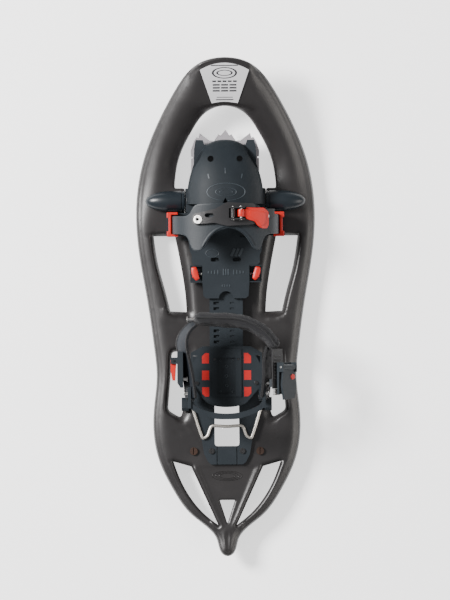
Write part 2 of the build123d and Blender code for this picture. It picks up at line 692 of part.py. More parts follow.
def ankle_lever():
    body = polygon((-0.7, 14), (19.7, 14), (19.7, 4), (23, -8), (20, -25), (1, -27), (-2.6, -8), (-0.7, 4))
    lever = prism(body, 9.2, 12.4) + rod_x(4, -0.7, 19.7, ANKLE_PIN_Y, ANKLE_PIN_Z)
    lever -= prism(Pos(16, 2) * Circle(3.5), 5, 20)
    lever -= rod_x(PIN_R + RUNNING_GAP, -5, 25, ANKLE_PIN_Y, ANKLE_PIN_Z)
    return RATCHET * lever


def ankle_lever_cap():
    return RATCHET * rod_z(3.5, 9.2, 13.2, 16, 2)


ADJUST_X, ADJUST_Y = -66.2, -67.0


def adjuster_body():
    """The left strap's adjuster housing."""
    body = prism(polygon((-61.9, -56), (-54.6, -56), (-54.6, -101), (-58, -101), (-61.9, -95)), 86, 108)
    body += block(-70, -58, -71, -63, 86, 89) + block(-70, -58, -71, -63, 105, 108)
    return less_ankle_rivets(body) - rod_z(PIN_R, 80, 112, ADJUST_X, ADJUST_Y)


def adjuster_pin():
    return rod_z(PIN_R, 85, 109, ADJUST_X, ADJUST_Y)


def adjuster_lever():
    blade = polygon((-70.2, -66), (-62.6, -66), (-63.5, -76), (-64.5, -92), (-68, -92), (-70.2, -80))
    lever = prism(blade, 89.3, 104.7) + rod_z(4, 89.3, 104.7, ADJUST_X, ADJUST_Y)
    return lever - rod_z(PIN_R + RUNNING_GAP, 80, 112, ADJUST_X, ADJUST_Y)


# ---- write every node --------------------------------------------------------
NODES = {
    "deck_frame": deck_frame, "nose_badge": nose_badge,
    "pivot_boss_left": lambda: pivot_boss(-1), "pivot_boss_right": lambda: pivot_boss(1),
    "pivot_bush_left": lambda: pivot_bush(-1), "pivot_bush_right": lambda: pivot_bush(1),
    "pivot_axle": pivot_axle, "heel_rest_plate": heel_rest_plate, "rest_plate_screws": rest_plate_screws,
    "deck_spikes": deck_spikes, "spike_screws": spike_screws,
    "lifter_clip_left": lambda: lifter_clip(-1), "lifter_clip_right": lambda: lifter_clip(1),
    "heel_lifter": heel_lifter, "binding_chassis": binding_chassis, "toe_crampon": toe_crampon,
    "claw_rivets": claw_rivets, "toe_cap": toe_cap, "toe_cap_screws": toe_cap_screws,
    "forefoot_saddle": forefoot_saddle, "strap_buckle_plate": strap_buckle_plate,
    "strap_rivet": strap_rivet, "toe_ladder_strap": toe_ladder_strap, "ladder_rivet": ladder_rivet,
    "strap_lever": strap_lever, "buckle_pawl": buckle_pawl, "buckle_pins": buckle_pins,
    "saddle_clip_left": lambda: saddle_clip(-1), "saddle_clip_right": lambda: saddle_clip(1),
    "length_button_left": lambda: length_button(-1), "length_button_right": lambda: length_button(1),
    "button_spring_left": lambda: button_spring(-1), "button_spring_right": lambda: button_spring(1),
    "length_rail": length_rail, "heel_plate": heel_plate, "heel_pads": heel_pads,
    "heel_screws": heel_screws, "cup_rivets": cup_rivets, "heel_cup": heel_cup,
    "ankle_arm_left": ankle_arm_left, "ankle_arm_right": ankle_arm_right, "ankle_pad": ankle_pad,
    "ratchet_anchor": ratchet_anchor, "ankle_rivets": ankle_rivets,
    "ankle_ladder_strap": ankle_ladder_strap, "ladder_teeth_plate": ladder_teeth_plate,
    "ankle_buckle": ankle_buckle, "ankle_pin": ankle_pin, "ankle_lever": ankle_lever,
    "ankle_lever_cap": ankle_lever_cap, "adjuster_body": adjuster_body, "adjuster_pin": adjuster_pin,
    "adjuster_lever": adjuster_lever,
}

for name, make in NODES.items():
    solid = make()
    export_step(solid, f"parts/{name}.step")
    print(f"{name}: {len(solid.solids())} solid, {solid.volume / 1000:.2f} cm3")
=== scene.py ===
"""A moulded snowshoe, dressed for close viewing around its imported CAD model."""
import logging
import math
from dataclasses import dataclass
from enum import Enum
from typing import Sequence

import bmesh
import bpy
import numpy as np
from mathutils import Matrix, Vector, geometry
from mathutils.bvhtree import BVHTree


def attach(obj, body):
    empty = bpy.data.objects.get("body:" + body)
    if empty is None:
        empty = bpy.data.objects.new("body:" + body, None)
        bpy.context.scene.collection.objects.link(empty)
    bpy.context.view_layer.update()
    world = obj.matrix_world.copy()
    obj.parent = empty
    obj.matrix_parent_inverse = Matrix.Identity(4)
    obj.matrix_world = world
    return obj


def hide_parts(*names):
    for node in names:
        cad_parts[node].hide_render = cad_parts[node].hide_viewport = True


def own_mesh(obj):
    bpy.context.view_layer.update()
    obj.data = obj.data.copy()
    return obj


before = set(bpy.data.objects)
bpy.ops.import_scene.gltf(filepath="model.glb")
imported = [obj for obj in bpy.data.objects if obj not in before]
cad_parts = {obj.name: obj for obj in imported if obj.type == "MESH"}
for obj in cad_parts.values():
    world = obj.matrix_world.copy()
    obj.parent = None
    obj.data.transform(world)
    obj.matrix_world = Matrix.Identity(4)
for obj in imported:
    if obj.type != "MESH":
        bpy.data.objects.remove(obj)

log = logging.getLogger("snowshoe")
MM = 0.001
Colour = tuple[float, float, float]


# ---- working in edit mode ----------------------------------------------------
def clear_selection() -> None:
    """Leaves nothing selected, in object mode."""
    if bpy.context.object and bpy.context.object.mode != "OBJECT":
        bpy.ops.object.mode_set(mode="OBJECT")
    bpy.ops.object.select_all(action="DESELECT")


def take(piece: bpy.types.Object) -> None:
    """Makes one piece the only selected and the active one.

    Args:
        piece: The object to select.
    """
    clear_selection()
    piece.select_set(True)
    bpy.context.view_layer.objects.active = piece


def settle(piece: bpy.types.Object) -> bpy.types.Object:
    """Moves the piece's place, turn and scale into its mesh.

    Args:
        piece: The object to settle.

    Returns:
        The same object, at the origin.
    """
    take(piece)
    bpy.ops.object.transform_apply(location=True, rotation=True, scale=True)
    return piece


def apply_modifiers(piece: bpy.types.Object) -> None:
    """Applies every modifier on the piece, in order.

    Args:
        piece: The object whose modifiers are applied.
    """
    take(piece)
    for modifier in list(piece.modifiers):
        bpy.ops.object.modifier_apply(modifier=modifier.name)


def smooth_faces(piece: bpy.types.Object, angle: float = 40.0) -> None:
    """Shades the piece smooth, with edges above the angle, in degrees, kept sharp."""
    take(piece)
    bpy.ops.object.shade_smooth_by_angle(angle=math.radians(angle))


def bevel(piece: bpy.types.Object, width: float, segments: int = 2) -> None:
    """Rounds the piece's sharp edges.

    Args:
        piece: The object to round.
        width: The bevel's width in metres.
        segments: Faces across the bevel.
    """
    round_off = piece.modifiers.new("round", "BEVEL")
    round_off.width = width
    round_off.segments = segments
    round_off.limit_method = "ANGLE"
    round_off.angle_limit = math.radians(35)
    apply_modifiers(piece)


def named(piece: bpy.types.Object, name: str) -> bpy.types.Object:
    """Names the object and its data.

    Args:
        piece: The object to name.
        name: The name for it and its data.

    Returns:
        The same object.
    """
    piece.name = name
    piece.data.name = name
    return piece


def mesh_piece(name: str, verts: Sequence, faces: Sequence) -> bpy.types.Object:
    """Makes an object from points and faces.

    Args:
        name: The piece's name.
        verts: Points in metres.
        faces: Faces as point numbers.

    Returns:
        The object, linked to the scene.
    """
    data = bpy.data.meshes.new(name)
    data.from_pydata([tuple(v) for v in verts], [], [tuple(f) for f in faces])
    data.update()
    piece = bpy.data.objects.new(name, data)
    bpy.context.scene.collection.objects.link(piece)
    return piece


def smooth_line(points: Sequence, count: int, closed: bool = False,
                start: Sequence | None = None) -> np.ndarray:
    """Points evenly spaced along the smooth cubic line through a few given ones.

    Args:
        points: The points the line goes through.
        count: How many intervals the line is divided into.
        closed: Whether the last point joins the first.
        start: The line's direction at its first point, if it is held.

    Returns:
        An array of count + 1 points, or count points on a closed line.
    """
    pts = np.array(points, float)
    if closed:
        lap = len(pts)
        pts = np.vstack([pts, pts, pts, pts[:1]])
    steps = np.linalg.norm(np.diff(pts, axis=0), axis=1)
    where = np.concatenate([[0], np.cumsum(steps)])
    size = len(pts)
    matrix = np.eye(size)
    right = np.zeros_like(pts)
    for i in range(1, size - 1):
        matrix[i, i - 1:i + 2] = steps[i - 1], 2 * (steps[i - 1] + steps[i]), steps[i]
        right[i] = 6 * ((pts[i + 1] - pts[i]) / steps[i] - (pts[i] - pts[i - 1]) / steps[i - 1])
    if start is not None:
        matrix[0, :2] = 2 * steps[0], steps[0]
        right[0] = 6 * ((pts[1] - pts[0]) / steps[0] - np.array(start, float))
    bend = np.linalg.solve(matrix, right)
    low, high = (where[lap], where[2 * lap]) if closed else (0, where[-1])
    fine = np.linspace(low, high, count * 8 + 1)
    i = np.clip(np.searchsorted(where, fine, side="right") - 1, 0, size - 2)
    h, a, b = steps[i], where[i + 1] - fine, fine - where[i]
    line = ((bend[i] * (a ** 3)[:, None] + bend[i + 1] * (b ** 3)[:, None]) / (6 * h)[:, None]
            + (pts[i] / h[:, None] - bend[i] * (h / 6)[:, None]) * a[:, None]
            + (pts[i + 1] / h[:, None] - bend[i + 1] * (h / 6)[:, None]) * b[:, None])
    run = np.concatenate([[0], np.cumsum(np.linalg.norm(np.diff(line, axis=0), axis=1))])
    at = np.linspace(0, run[-1], count + 1)
    even = np.column_stack([np.interp(at, run, line[:, k]) for k in range(line.shape[1])])
    return even[:-1] if closed else even


def mirror_half(half: np.ndarray) -> np.ndarray:
    """A closed loop from its right half, which starts and ends on the centre line."""
    left = half[::-1][1:-1] * np.array([-1, 1])
    return np.vstack([half, left])


def dense(loop: Sequence, step: float) -> np.ndarray:
    """A closed polygon with points added so that none are further apart than step.

    Args:
        loop: The closed polygon.
        step: The longest gap between points.

    Returns:
        The polygon with the added points.
    """
    pts = np.array(loop, float)
    out = []
    for here, there in zip(pts, np.roll(pts, -1, axis=0)):
        n = max(1, int(np.ceil(np.linalg.norm(there - here) / step)))
        out += [here + (there - here) * i / n for i in range(n)]
    return np.array(out)


def rounded(loop: Sequence, radius: float) -> np.ndarray:
    """A polygon with its corners cut by short arcs of the given radius.

    Args:
        loop: The closed polygon.
        radius: The radius of each arc.

    Returns:
        The rounded polygon.
    """
    pts = np.array(loop, float)
    out = []
    for before, corner, after in zip(np.roll(pts, 1, axis=0), pts, np.roll(pts, -1, axis=0)):
        u, v = before - corner, after - corner
        reach = min(radius, 0.45 * np.linalg.norm(u), 0.45 * np.linalg.norm(v))
        a, b = corner + u / np.linalg.norm(u) * reach, corner + v / np.linalg.norm(v) * reach
        for t in (0, 0.25, 0.5, 0.75, 1):
            out.append((1 - t) ** 2 * a + 2 * t * (1 - t) * corner + t * t * b)
    return np.array(out)


def distance_to(points: np.ndarray, loop: np.ndarray) -> np.ndarray:
    """Each point's distance to a closed polygon's edge.

    Args:
        points: The points to measure.
        loop: The closed polygon.

    Returns:
        One distance for each point.
    """
    a, b = loop, np.roll(loop, -1, axis=0)
    edge = b - a
    best = np.full(len(points), 1e9)
    for i in range(len(a)):
        t = np.clip(((points - a[i]) @ edge[i]) / max(edge[i] @ edge[i], 1e-12), 0, 1)
        gap = points - (a[i] + t[:, None] * edge[i])
        best = np.minimum(best, np.einsum("ij,ij->i", gap, gap))
    return np.sqrt(best)


def inside(points: np.ndarray, loop: np.ndarray) -> np.ndarray:
    """Whether each point is inside a closed polygon.

    Args:
        points: The points to test.
        loop: The closed polygon.

    Returns:
        True for each point that is inside.
    """
    within = np.zeros(len(points), bool)
    x, y = points[:, 0], points[:, 1]
    for (x0, y0), (x1, y1) in zip(loop, np.roll(loop, -1, axis=0)):
        crosses = (y0 > y) != (y1 > y)
        if y0 != y1:
            within ^= crosses & (x < (x1 - x0) * (y - y0) / (y1 - y0) + x0)
    return within


def ramp(value: np.ndarray, low: float, high: float) -> np.ndarray:
    """A smooth step from 0 at low to 1 at high."""
    t = np.clip((value - low) / (high - low), 0, 1)
    return t * t * (3 - 2 * t)


def soft_drop(distance: np.ndarray, reach: float, depth: float) -> np.ndarray:
    """How far a softly crowned band has fallen, at a distance from its edge."""
    return depth * (1 - np.clip(distance / reach, 0, 1)) ** 2


def round_drop(distance: np.ndarray, reach: float, depth: float) -> np.ndarray:
    """How far a rounded edge has fallen, at a distance from the edge."""
    t = 1 - np.clip(distance / reach, 0, 1)
    return depth * (1 - np.sqrt(np.maximum(0, 1 - t * t)))


# ---- materials ---------------------------------------------------------------
class Nodes:
    """A short way to add and join shader nodes in one tree."""

    def __init__(self, tree: bpy.types.NodeTree) -> None:
        """Keeps the tree that nodes are added to."""
        self.tree = tree

    def add(self, kind: str, **values: object) -> bpy.types.Node:
        """Adds a node and sets its properties and input values.

        Args:
            kind: The node's type name.
            **values: Properties, or inputs by name with spaces as underscores.

        Returns:
            The new node.
        """
        node = self.tree.nodes.new(kind)
        for key, value in values.items():
            if hasattr(node, key):
                setattr(node, key, value)
            else:
                node.inputs[key.replace("_", " ")].default_value = value
        return node

    def join(self, source: bpy.types.NodeSocket, target: bpy.types.NodeSocket) -> None:
        """Links an output to an input."""
        self.tree.links.new(source, target)

    def maths(self, operation: str, first: object, second: object = 0.5) -> bpy.types.NodeSocket:
        """Adds a Math node on sockets or numbers and returns its result.

        Args:
            operation: The node's operation.
            first: The first socket or number.
            second: The second socket or number.

        Returns:
            The node's result.
        """
        node = self.tree.nodes.new("ShaderNodeMath")
        node.operation = operation
        for socket, value in zip(node.inputs, (first, second)):
            if isinstance(value, bpy.types.NodeSocket):
                self.join(value, socket)
            else:
                socket.default_value = value
        return node.outputs[0]


def new_group(name: str, takes: dict[str, tuple[str, object]], gives: dict[str, str]) -> tuple:
    """Starts a shader node group with named sockets.

    Args:
        name: The group's name.
        takes: Each input's socket type and default value.
        gives: Each output's socket type.

    Returns:
        The group, its Nodes helper, its input node and its output node.
    """
    group = bpy.data.node_groups.new(name, "ShaderNodeTree")
    for label, (kind, value) in takes.items():
        socket = group.interface.new_socket(label, in_out="INPUT", socket_type=kind)
        if value is not None:
            socket.default_value = value
    for label, kind in gives.items():
        group.interface.new_socket(label, in_out="OUTPUT", socket_type=kind)
    nodes = Nodes(group)
    return group, nodes, nodes.add("NodeGroupInput"), nodes.add("NodeGroupOutput")


def wear_group() -> bpy.types.NodeTree:
    """The shared moulded-surface effect: mottled colour, scuffs, uneven gloss and fine grain.

    Returns:
        The node group.
    """
    takes = {"Vector": ("NodeSocketVector", None), "Colour": ("NodeSocketColor", (0.1, 0.1, 0.1, 1)),
             "Worn Colour": ("NodeSocketColor", (0.2, 0.2, 0.2, 1)), "Wear": ("NodeSocketFloat", 0.3),
             "Grain": ("NodeSocketFloat", 900.0), "Roughness": ("NodeSocketFloat", 0.5)}
    gives = {"Colour": "NodeSocketColor", "Roughness": "NodeSocketFloat", "Height": "NodeSocketFloat"}
    group, n, given, result = new_group("moulded_surface", takes, gives)
    cloud = n.add("ShaderNodeTexNoise", Scale=22.0, Detail=5.0, Roughness=0.6)
    grain = n.add("ShaderNodeTexNoise", Detail=3.0, Roughness=0.55)
    stretch = n.add("ShaderNodeMapping")
    stretch.inputs["Scale"].default_value = (1.0, 0.12, 1.0)
    scuff = n.add("ShaderNodeTexNoise", Scale=420.0, Detail=6.0, Roughness=0.7)
    for node in (cloud, grain, stretch):
        n.join(given.outputs["Vector"], node.inputs["Vector"])
    n.join(stretch.outputs[0], scuff.inputs["Vector"])
    n.join(given.outputs["Grain"], grain.inputs["Scale"])
    patch = n.maths("SUBTRACT", cloud.outputs["Fac"], 0.45)
    streak = n.maths("SUBTRACT", scuff.outputs["Fac"], 0.62)
    marks = n.maths("MULTIPLY", n.maths("MAXIMUM", streak, 0.0), 3.0)
    amount = n.maths("ADD", n.maths("MAXIMUM", patch, 0.0), marks)
    amount = n.maths("MULTIPLY", amount, given.outputs["Wear"])
    blend = n.add("ShaderNodeMix", data_type="RGBA")
    n.join(n.maths("MINIMUM", amount, 1.0), blend.inputs["Factor"])
    n.join(given.outputs["Colour"], blend.inputs["A"])
    n.join(given.outputs["Worn Colour"], blend.inputs["B"])
    n.join(blend.outputs["Result"], result.inputs["Colour"])
    gloss = n.maths("MULTIPLY", n.maths("SUBTRACT", cloud.outputs["Fac"], 0.5), 0.22)
    gloss = n.maths("ADD", gloss, n.maths("MULTIPLY", marks, 0.15))
    n.join(n.maths("ADD", gloss, given.outputs["Roughness"]), result.inputs["Roughness"])
    scratches = n.maths("MULTIPLY", scuff.outputs["Fac"], 0.35)
    n.join(n.maths("ADD", grain.outputs["Fac"], scratches), result.inputs["Height"])
    return group


def weave_group() -> bpy.types.NodeTree:
    """The shared cloth effect: a plain weave, with fluff and faded patches.

    Returns:
        The node group.
    """
    takes = {"Vector": ("NodeSocketVector", None), "Colour": ("NodeSocketColor", (0.1, 0.1, 0.1, 1)),
             "Thread Colour": ("NodeSocketColor", (0.2, 0.2, 0.2, 1)), "Threads": ("NodeSocketFloat", 600.0)}
    gives = {"Colour": "NodeSocketColor", "Height": "NodeSocketFloat"}
    group, n, given, result = new_group("woven_surface", takes, gives)
    waves = []
    for direction in ("X", "Y", "Z"):
        wave = n.add("ShaderNodeTexWave", bands_direction=direction, Distortion=0.6, Detail=1.0)
        wave.inputs["Detail Scale"].default_value = 3.0
        n.join(given.outputs["Vector"], wave.inputs["Vector"])
        n.join(given.outputs["Threads"], wave.inputs["Scale"])
        waves.append(wave.outputs["Fac"])
    over, under = (n.maths("MULTIPLY", wave, waves[2]) for wave in waves[:2])
    cross = n.maths("MAXIMUM", over, under)
    fluff = n.add("ShaderNodeTexNoise", Scale=2200.0, Detail=4.0)
    fade = n.add("ShaderNodeTexNoise", Scale=45.0, Detail=4.0)
    n.join(given.outputs["Vector"], fluff.inputs["Vector"])
    n.join(given.outputs["Vector"], fade.inputs["Vector"])
    mask = n.maths("MULTIPLY", n.maths("ADD", cross, fade.outputs["Fac"]), fluff.outputs["Fac"])
    blend = n.add("ShaderNodeMix", data_type="RGBA")
    n.join(n.maths("MINIMUM", mask, 1.0), blend.inputs["Factor"])
    n.join(given.outputs["Colour"], blend.inputs["A"])
    n.join(given.outputs["Thread Colour"], blend.inputs["B"])
    n.join(blend.outputs["Result"], result.inputs["Colour"])
    n.join(n.maths("ADD", cross, n.maths("MULTIPLY", fluff.outputs["Fac"], 0.6)), result.inputs["Height"])
    return group


class Surface(Enum):
    """The kind of surface effect a finish is built on."""

    MOULDED = "moulded_surface"
    WOVEN = "woven_surface"


@dataclass(frozen=True)
class Finish:
    """One material of the snowshoe, and the record's slot it stands for."""

    name: str
    slot: str
    colour: Colour
    worn: Colour
    roughness: float = 0.5
    metallic: float = 0.0
    wear: float = 0.35
    grain: float = 900.0
    relief: float = 0.00012
    sheen: float = 0.0
    specular: float = 0.4
    surface: Surface = Surface.MOULDED

    def material(self) -> bpy.types.Material:
        """Builds the material the first time, and finds it afterwards."""
        known = bpy.data.materials.get(self.name)
        return known or self._build()

    def _build(self) -> bpy.types.Material:
        """Makes the node tree from the shared group and a Principled BSDF.

        Returns:
            The material.
        """
        made = bpy.data.materials.new(self.name)
        made.use_nodes = True
        n = Nodes(made.node_tree)
        shader = made.node_tree.nodes["Principled BSDF"]
        shader.inputs["Roughness"].default_value = self.roughness
        shader.inputs["Metallic"].default_value = self.metallic
        shader.inputs["Sheen Weight"].default_value = self.sheen
        shader.inputs["Specular IOR Level"].default_value = self.specular
        group = made.node_tree.nodes.new("ShaderNodeGroup")
        group.node_tree = bpy.data.node_groups[self.surface.value]
        place = n.add("ShaderNodeTexCoord")
        n.join(place.outputs["Object"], group.inputs["Vector"])
        group.inputs["Colour"].default_value = (*self.colour, 1)
        if self.surface is Surface.MOULDED:
            group.inputs["Worn Colour"].default_value = (*self.worn, 1)
            group.inputs["Wear"].default_value = self.wear
            group.inputs["Grain"].default_value = self.grain
            group.inputs["Roughness"].default_value = self.roughness
            n.join(group.outputs["Roughness"], shader.inputs["Roughness"])
        else:
            group.inputs["Thread Colour"].default_value = (*self.worn, 1)
            group.inputs["Threads"].default_value = self.grain
        n.join(group.outputs["Colour"], shader.inputs["Base Color"])
        bump = n.add("ShaderNodeBump", Strength=1.0, Distance=self.relief)
        n.join(group.outputs["Height"], bump.inputs["Height"])
        n.join(bump.outputs["Normal"], shader.inputs["Normal"])
        return made

    def dress(self, piece: bpy.types.Object) -> None:
        """Gives the piece this finish's material.

        Args:
            piece: The piece to dress.
        """
        piece.data.materials.clear()
        piece.data.materials.append(self.material())


DECK = Finish("graphite_deck", "deck_plastic", (0.0165, 0.015, 0.0152), (0.05, 0.045, 0.043), 0.37, wear=0.25,
              grain=1400.0, relief=0.00006, specular=0.5)
SLATE = Finish("slate_moulding", "slate_plastic", (0.0105, 0.015, 0.0192), (0.036, 0.046, 0.055), 0.48,
               wear=0.35, specular=0.32)
GLOSS = Finish("polished_slate", "slate_plastic", (0.0095, 0.0135, 0.0175), (0.03, 0.036, 0.042), 0.32,
               wear=0.3, relief=0.00003, specular=0.36)
MATTE = Finish("matte_slate", "slate_plastic", (0.0085, 0.0122, 0.0155), (0.03, 0.038, 0.046), 0.58, wear=0.4,
               specular=0.22)
# A lighter slate for small raised marks. On the toe hood's three small ribs this lighter colour is a painted
# highlight standing for their glints.
SLATE_MARKS_AND_GLINTS = Finish("lighter_slate_marks_and_glints", "slate_plastic", (0.03, 0.039, 0.047), (0.08, 0.09, 0.1), 0.42, wear=0.6)
SLATE_STRAP = Finish("slate_strap", "slate_plastic", (0.0095, 0.012, 0.0162), (0.034, 0.04, 0.049), 0.62,
                     wear=0.5, specular=0.24)
RED = Finish("red_moulding", "red_plastic", (0.5, 0.012, 0.006), (0.6, 0.05, 0.03), 0.42, wear=0.25)
RED_PAD = Finish("red_damper", "red_plastic", (0.42, 0.006, 0.005), (0.5, 0.03, 0.02), 0.55, wear=0.3)
BLACK = Finish("black_strap", "black_plastic", (0.006, 0.006, 0.007), (0.025, 0.025, 0.027), 0.45)
BUCKLE = Finish("charcoal_buckle", "buckle_plastic", (0.019, 0.0185, 0.0195), (0.05, 0.048, 0.05), 0.38)
NYLON = Finish("nylon_bush", "nylon", (0.6, 0.58, 0.52), (0.7, 0.68, 0.62), 0.5)
SILVER = Finish("silver_badge", "silver_badge", (0.62, 0.62, 0.63), (0.5, 0.5, 0.51), 0.42, 0.15, wear=0.2,
                relief=0.00003)
CLAW = Finish("grey_claw", "claw_steel", (0.27, 0.255, 0.27), (0.2, 0.185, 0.18), 0.5, 0.2, wear=0.35)
WIRE = Finish("bright_wire", "wire_steel", (0.6, 0.57, 0.52), (0.4, 0.35, 0.27), 0.44, 1.0, wear=0.3,
              grain=1200.0, relief=0.000004)
DARK_STEEL = Finish("dark_fastener", "fastener_steel", (0.06, 0.06, 0.062), (0.14, 0.13, 0.12), 0.35, 0.9,
                    wear=0.4, grain=2500.0, relief=0.00003)
STEEL = Finish("zinc_fastener", "fastener_steel", (0.55, 0.54, 0.52), (0.3, 0.28, 0.25), 0.34, 1.0, wear=0.5,
               grain=2500.0, relief=0.00003)
RUST = Finish("rusty_screw", "fastener_steel", (0.028, 0.014, 0.009), (0.07, 0.03, 0.014), 0.78, 0.2,
              wear=1.0, grain=2500.0, relief=0.0002)
INK = Finish("badge_print", "black_plastic", (0.02, 0.02, 0.023), (0.06, 0.06, 0.06), 0.55, wear=0.1)
CLOTH = Finish("ankle_cloth", "pad_fabric", (0.0068, 0.0068, 0.008), (0.022, 0.022, 0.025), 0.92, grain=480.0,
               relief=0.0005, sheen=0.05, surface=Surface.WOVEN)
PIPING = Finish("ankle_binding", "pad_fabric", (0.0062, 0.0062, 0.007), (0.02, 0.02, 0.022), 0.88,
                grain=900.0, relief=0.0004, sheen=0.04, surface=Surface.WOVEN)


# ---- CAD nodes that keep their shape -----------------------------------------
def dress_node(node: str, finish: Finish, edge: float = 0.5) -> None:
    """Gives a CAD node its material and softly rounded edges.

    Args:
        node: The CAD node's name.
        finish: Its finish.
        edge: The radius of its moulded edges in millimetres, or 0 for none.
    """
    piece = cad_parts[node]
    weld = piece.modifiers.new("weld", "WELD")
    weld.merge_threshold = 0.00001
    flat = piece.modifiers.new("flat", "DECIMATE")
    flat.decimate_type = "DISSOLVE"
    flat.angle_limit = math.radians(1.0)
    if edge:
        round_off = piece.modifiers.new("round", "BEVEL")
        round_off.width = edge * MM
        round_off.segments = 2
        round_off.limit_method = "ANGLE"
        round_off.angle_limit = math.radians(32)
    piece.data.polygons.foreach_set("use_smooth", [True] * len(piece.data.polygons))
    normals = piece.modifiers.new("normals", "WEIGHTED_NORMAL")
    normals.keep_sharp = True
    finish.dress(piece)
    log.info("dressed %s", node)


def finish_piece(piece: bpy.types.Object, body: str, finish: Finish, nodes: Sequence[str] = ()) -> None:
    """Puts a made piece on its body, with its finish.

    Args:
        piece: The finished object, at the origin.
        body: The CAD body it rides on.
        finish: Its finish.
        nodes: The CAD nodes it stands for, if any.
    """
    finish.dress(piece)
    if nodes:
        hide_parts(*nodes)
    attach(piece, body)
    log.info("made %s", piece.name)


def surface_tree(node: str) -> BVHTree:
    """A search tree on a CAD node's faces."""
    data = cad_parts[node].data
    return BVHTree.FromPolygons([v.co for v in data.vertices], [tuple(p.vertices) for p in data.polygons])


def lay_on(piece: bpy.types.Object, tree: BVHTree, lift: float) -> None:
    """Drops a flat piece's points onto a surface below, keeping its own relief.

    Args:
        piece: A piece modelled near height 0.
        tree: The surface's search tree.
        lift: How far above the surface its height 0 goes, in metres.
    """
    for vert in piece.data.vertices:
        hit = tree.ray_cast(Vector((vert.co.x, vert.co.y, 0.3)), Vector((0, 0, -1)))[0]
        if hit is not None:
            vert.co.z += hit.z + lift


def flat_ring(name: str, centre: tuple[float, float], radii: tuple[float, float], width: float,
              height: float) -> bpy.types.Object:
    """An oval raised line at height 0, in millimetres.

    Args:
        name: The ring's name.
        centre: Its centre in plan.
        radii: Its half width and half depth.
        width: How wide the line is.
        height: How high the line stands.

    Returns:
        The ring as a mesh.
    """
    clear_selection()
    bpy.ops.mesh.primitive_torus_add(major_segments=64, minor_segments=8, major_radius=1.0,
                                     minor_radius=width / 2 / max(radii), location=(0, 0, 0))
    ring = named(bpy.context.object, name)
    ring.scale = (radii[0] * MM, radii[1] * MM, height * MM / (width / 2 / max(radii)))
    ring.location = (centre[0] * MM, centre[1] * MM, 0)
    settle(ring)
    smooth_faces(ring, 80)
    return ring


def flat_bar(name: str, centre: tuple[float, float], size: tuple[float, float, float], turn: float = 0.0,
             cuts: int = 6) -> bpy.types.Object:
    """A raised bar with rounded edges and a top at height 0 plus its depth, in millimetres.

    Args:
        name: The bar's name.
        centre: Its centre in plan.
        size: Its width, depth and height.
        turn: Its turn in degrees.
        cuts: How many cuts let it follow a curved surface.

    Returns:
        The bar as a mesh.
    """
    clear_selection()
    bpy.ops.mesh.primitive_cube_add(size=1, location=(0, 0, 0))
    bar = named(bpy.context.object, name)
    bpy.ops.object.mode_set(mode="EDIT")
    bpy.ops.mesh.subdivide(number_cuts=cuts)
    bpy.ops.object.mode_set(mode="OBJECT")
    bar.scale = (size[0] * MM, size[1] * MM, size[2] * MM)
    bar.rotation_euler = (0, 0, math.radians(turn))
    bar.location = (centre[0] * MM, centre[1] * MM, 0)
    settle(bar)
    bevel(bar, min(size) * 0.3 * MM, 2)
    smooth_faces(bar)
    return bar


def joined(pieces: list[bpy.types.Object], name: str) -> bpy.types.Object:
    """Joins several objects into one.

    Args:
        pieces: The objects to join.
        name: The name of the joined object.

    Returns:
        The joined object.
    """
    clear_selection()
    for piece in pieces:
        piece.select_set(True)
    bpy.context.view_layer.objects.active = pieces[0]
    if len(pieces) > 1:
        bpy.ops.object.join()
    return named(bpy.context.object, name)


def block(name: str, low: Sequence[float], high: Sequence[float], edge: float = 0.6) -> bpy.types.Object:
    """A block between two corners, in millimetres, with rounded edges.

    Args:
        name: The block's name.
        low: Its lowest corner.
        high: Its highest corner.
        edge: The radius of its edges.

    Returns:
        The block as a mesh.
    """
    clear_selection()
    bpy.ops.mesh.primitive_cube_add(size=1)
    piece = named(bpy.context.object, name)
    low, high = np.array(low) * MM, np.array(high) * MM
    piece.scale = high - low
    piece.location = (low + high) / 2
    settle(piece)
    bevel(piece, edge * MM, 2)
    smooth_faces(piece)
    return piece


def tube_along(name: str, points: np.ndarray, radius: float, closed: bool = False) -> bpy.types.Object:
    """A round tube along points in metres.

    Args:
        name: The piece's name.
        points: The line the tube follows.
        radius: The tube's radius in metres.
        closed: Whether the tube is a loop.

    Returns:
        The tube as a mesh.
    """
    data = bpy.data.curves.new(name, "CURVE")
    data.dimensions = "3D"
    spline = data.splines.new("POLY")
    spline.points.add(len(points) - 1)
    for point, place in zip(spline.points, points):
        point.co = (*place, 1)
    spline.use_cyclic_u = closed
    data.bevel_depth = radius
    data.bevel_resolution = 3
    data.use_fill_caps = not closed
    curve = bpy.data.objects.new(name, data)
    bpy.context.scene.collection.objects.link(curve)
    take(curve)
    bpy.ops.object.convert(target="MESH")
    tube = named(bpy.context.object, name)
    smooth_faces(tube, 60)
    return tube


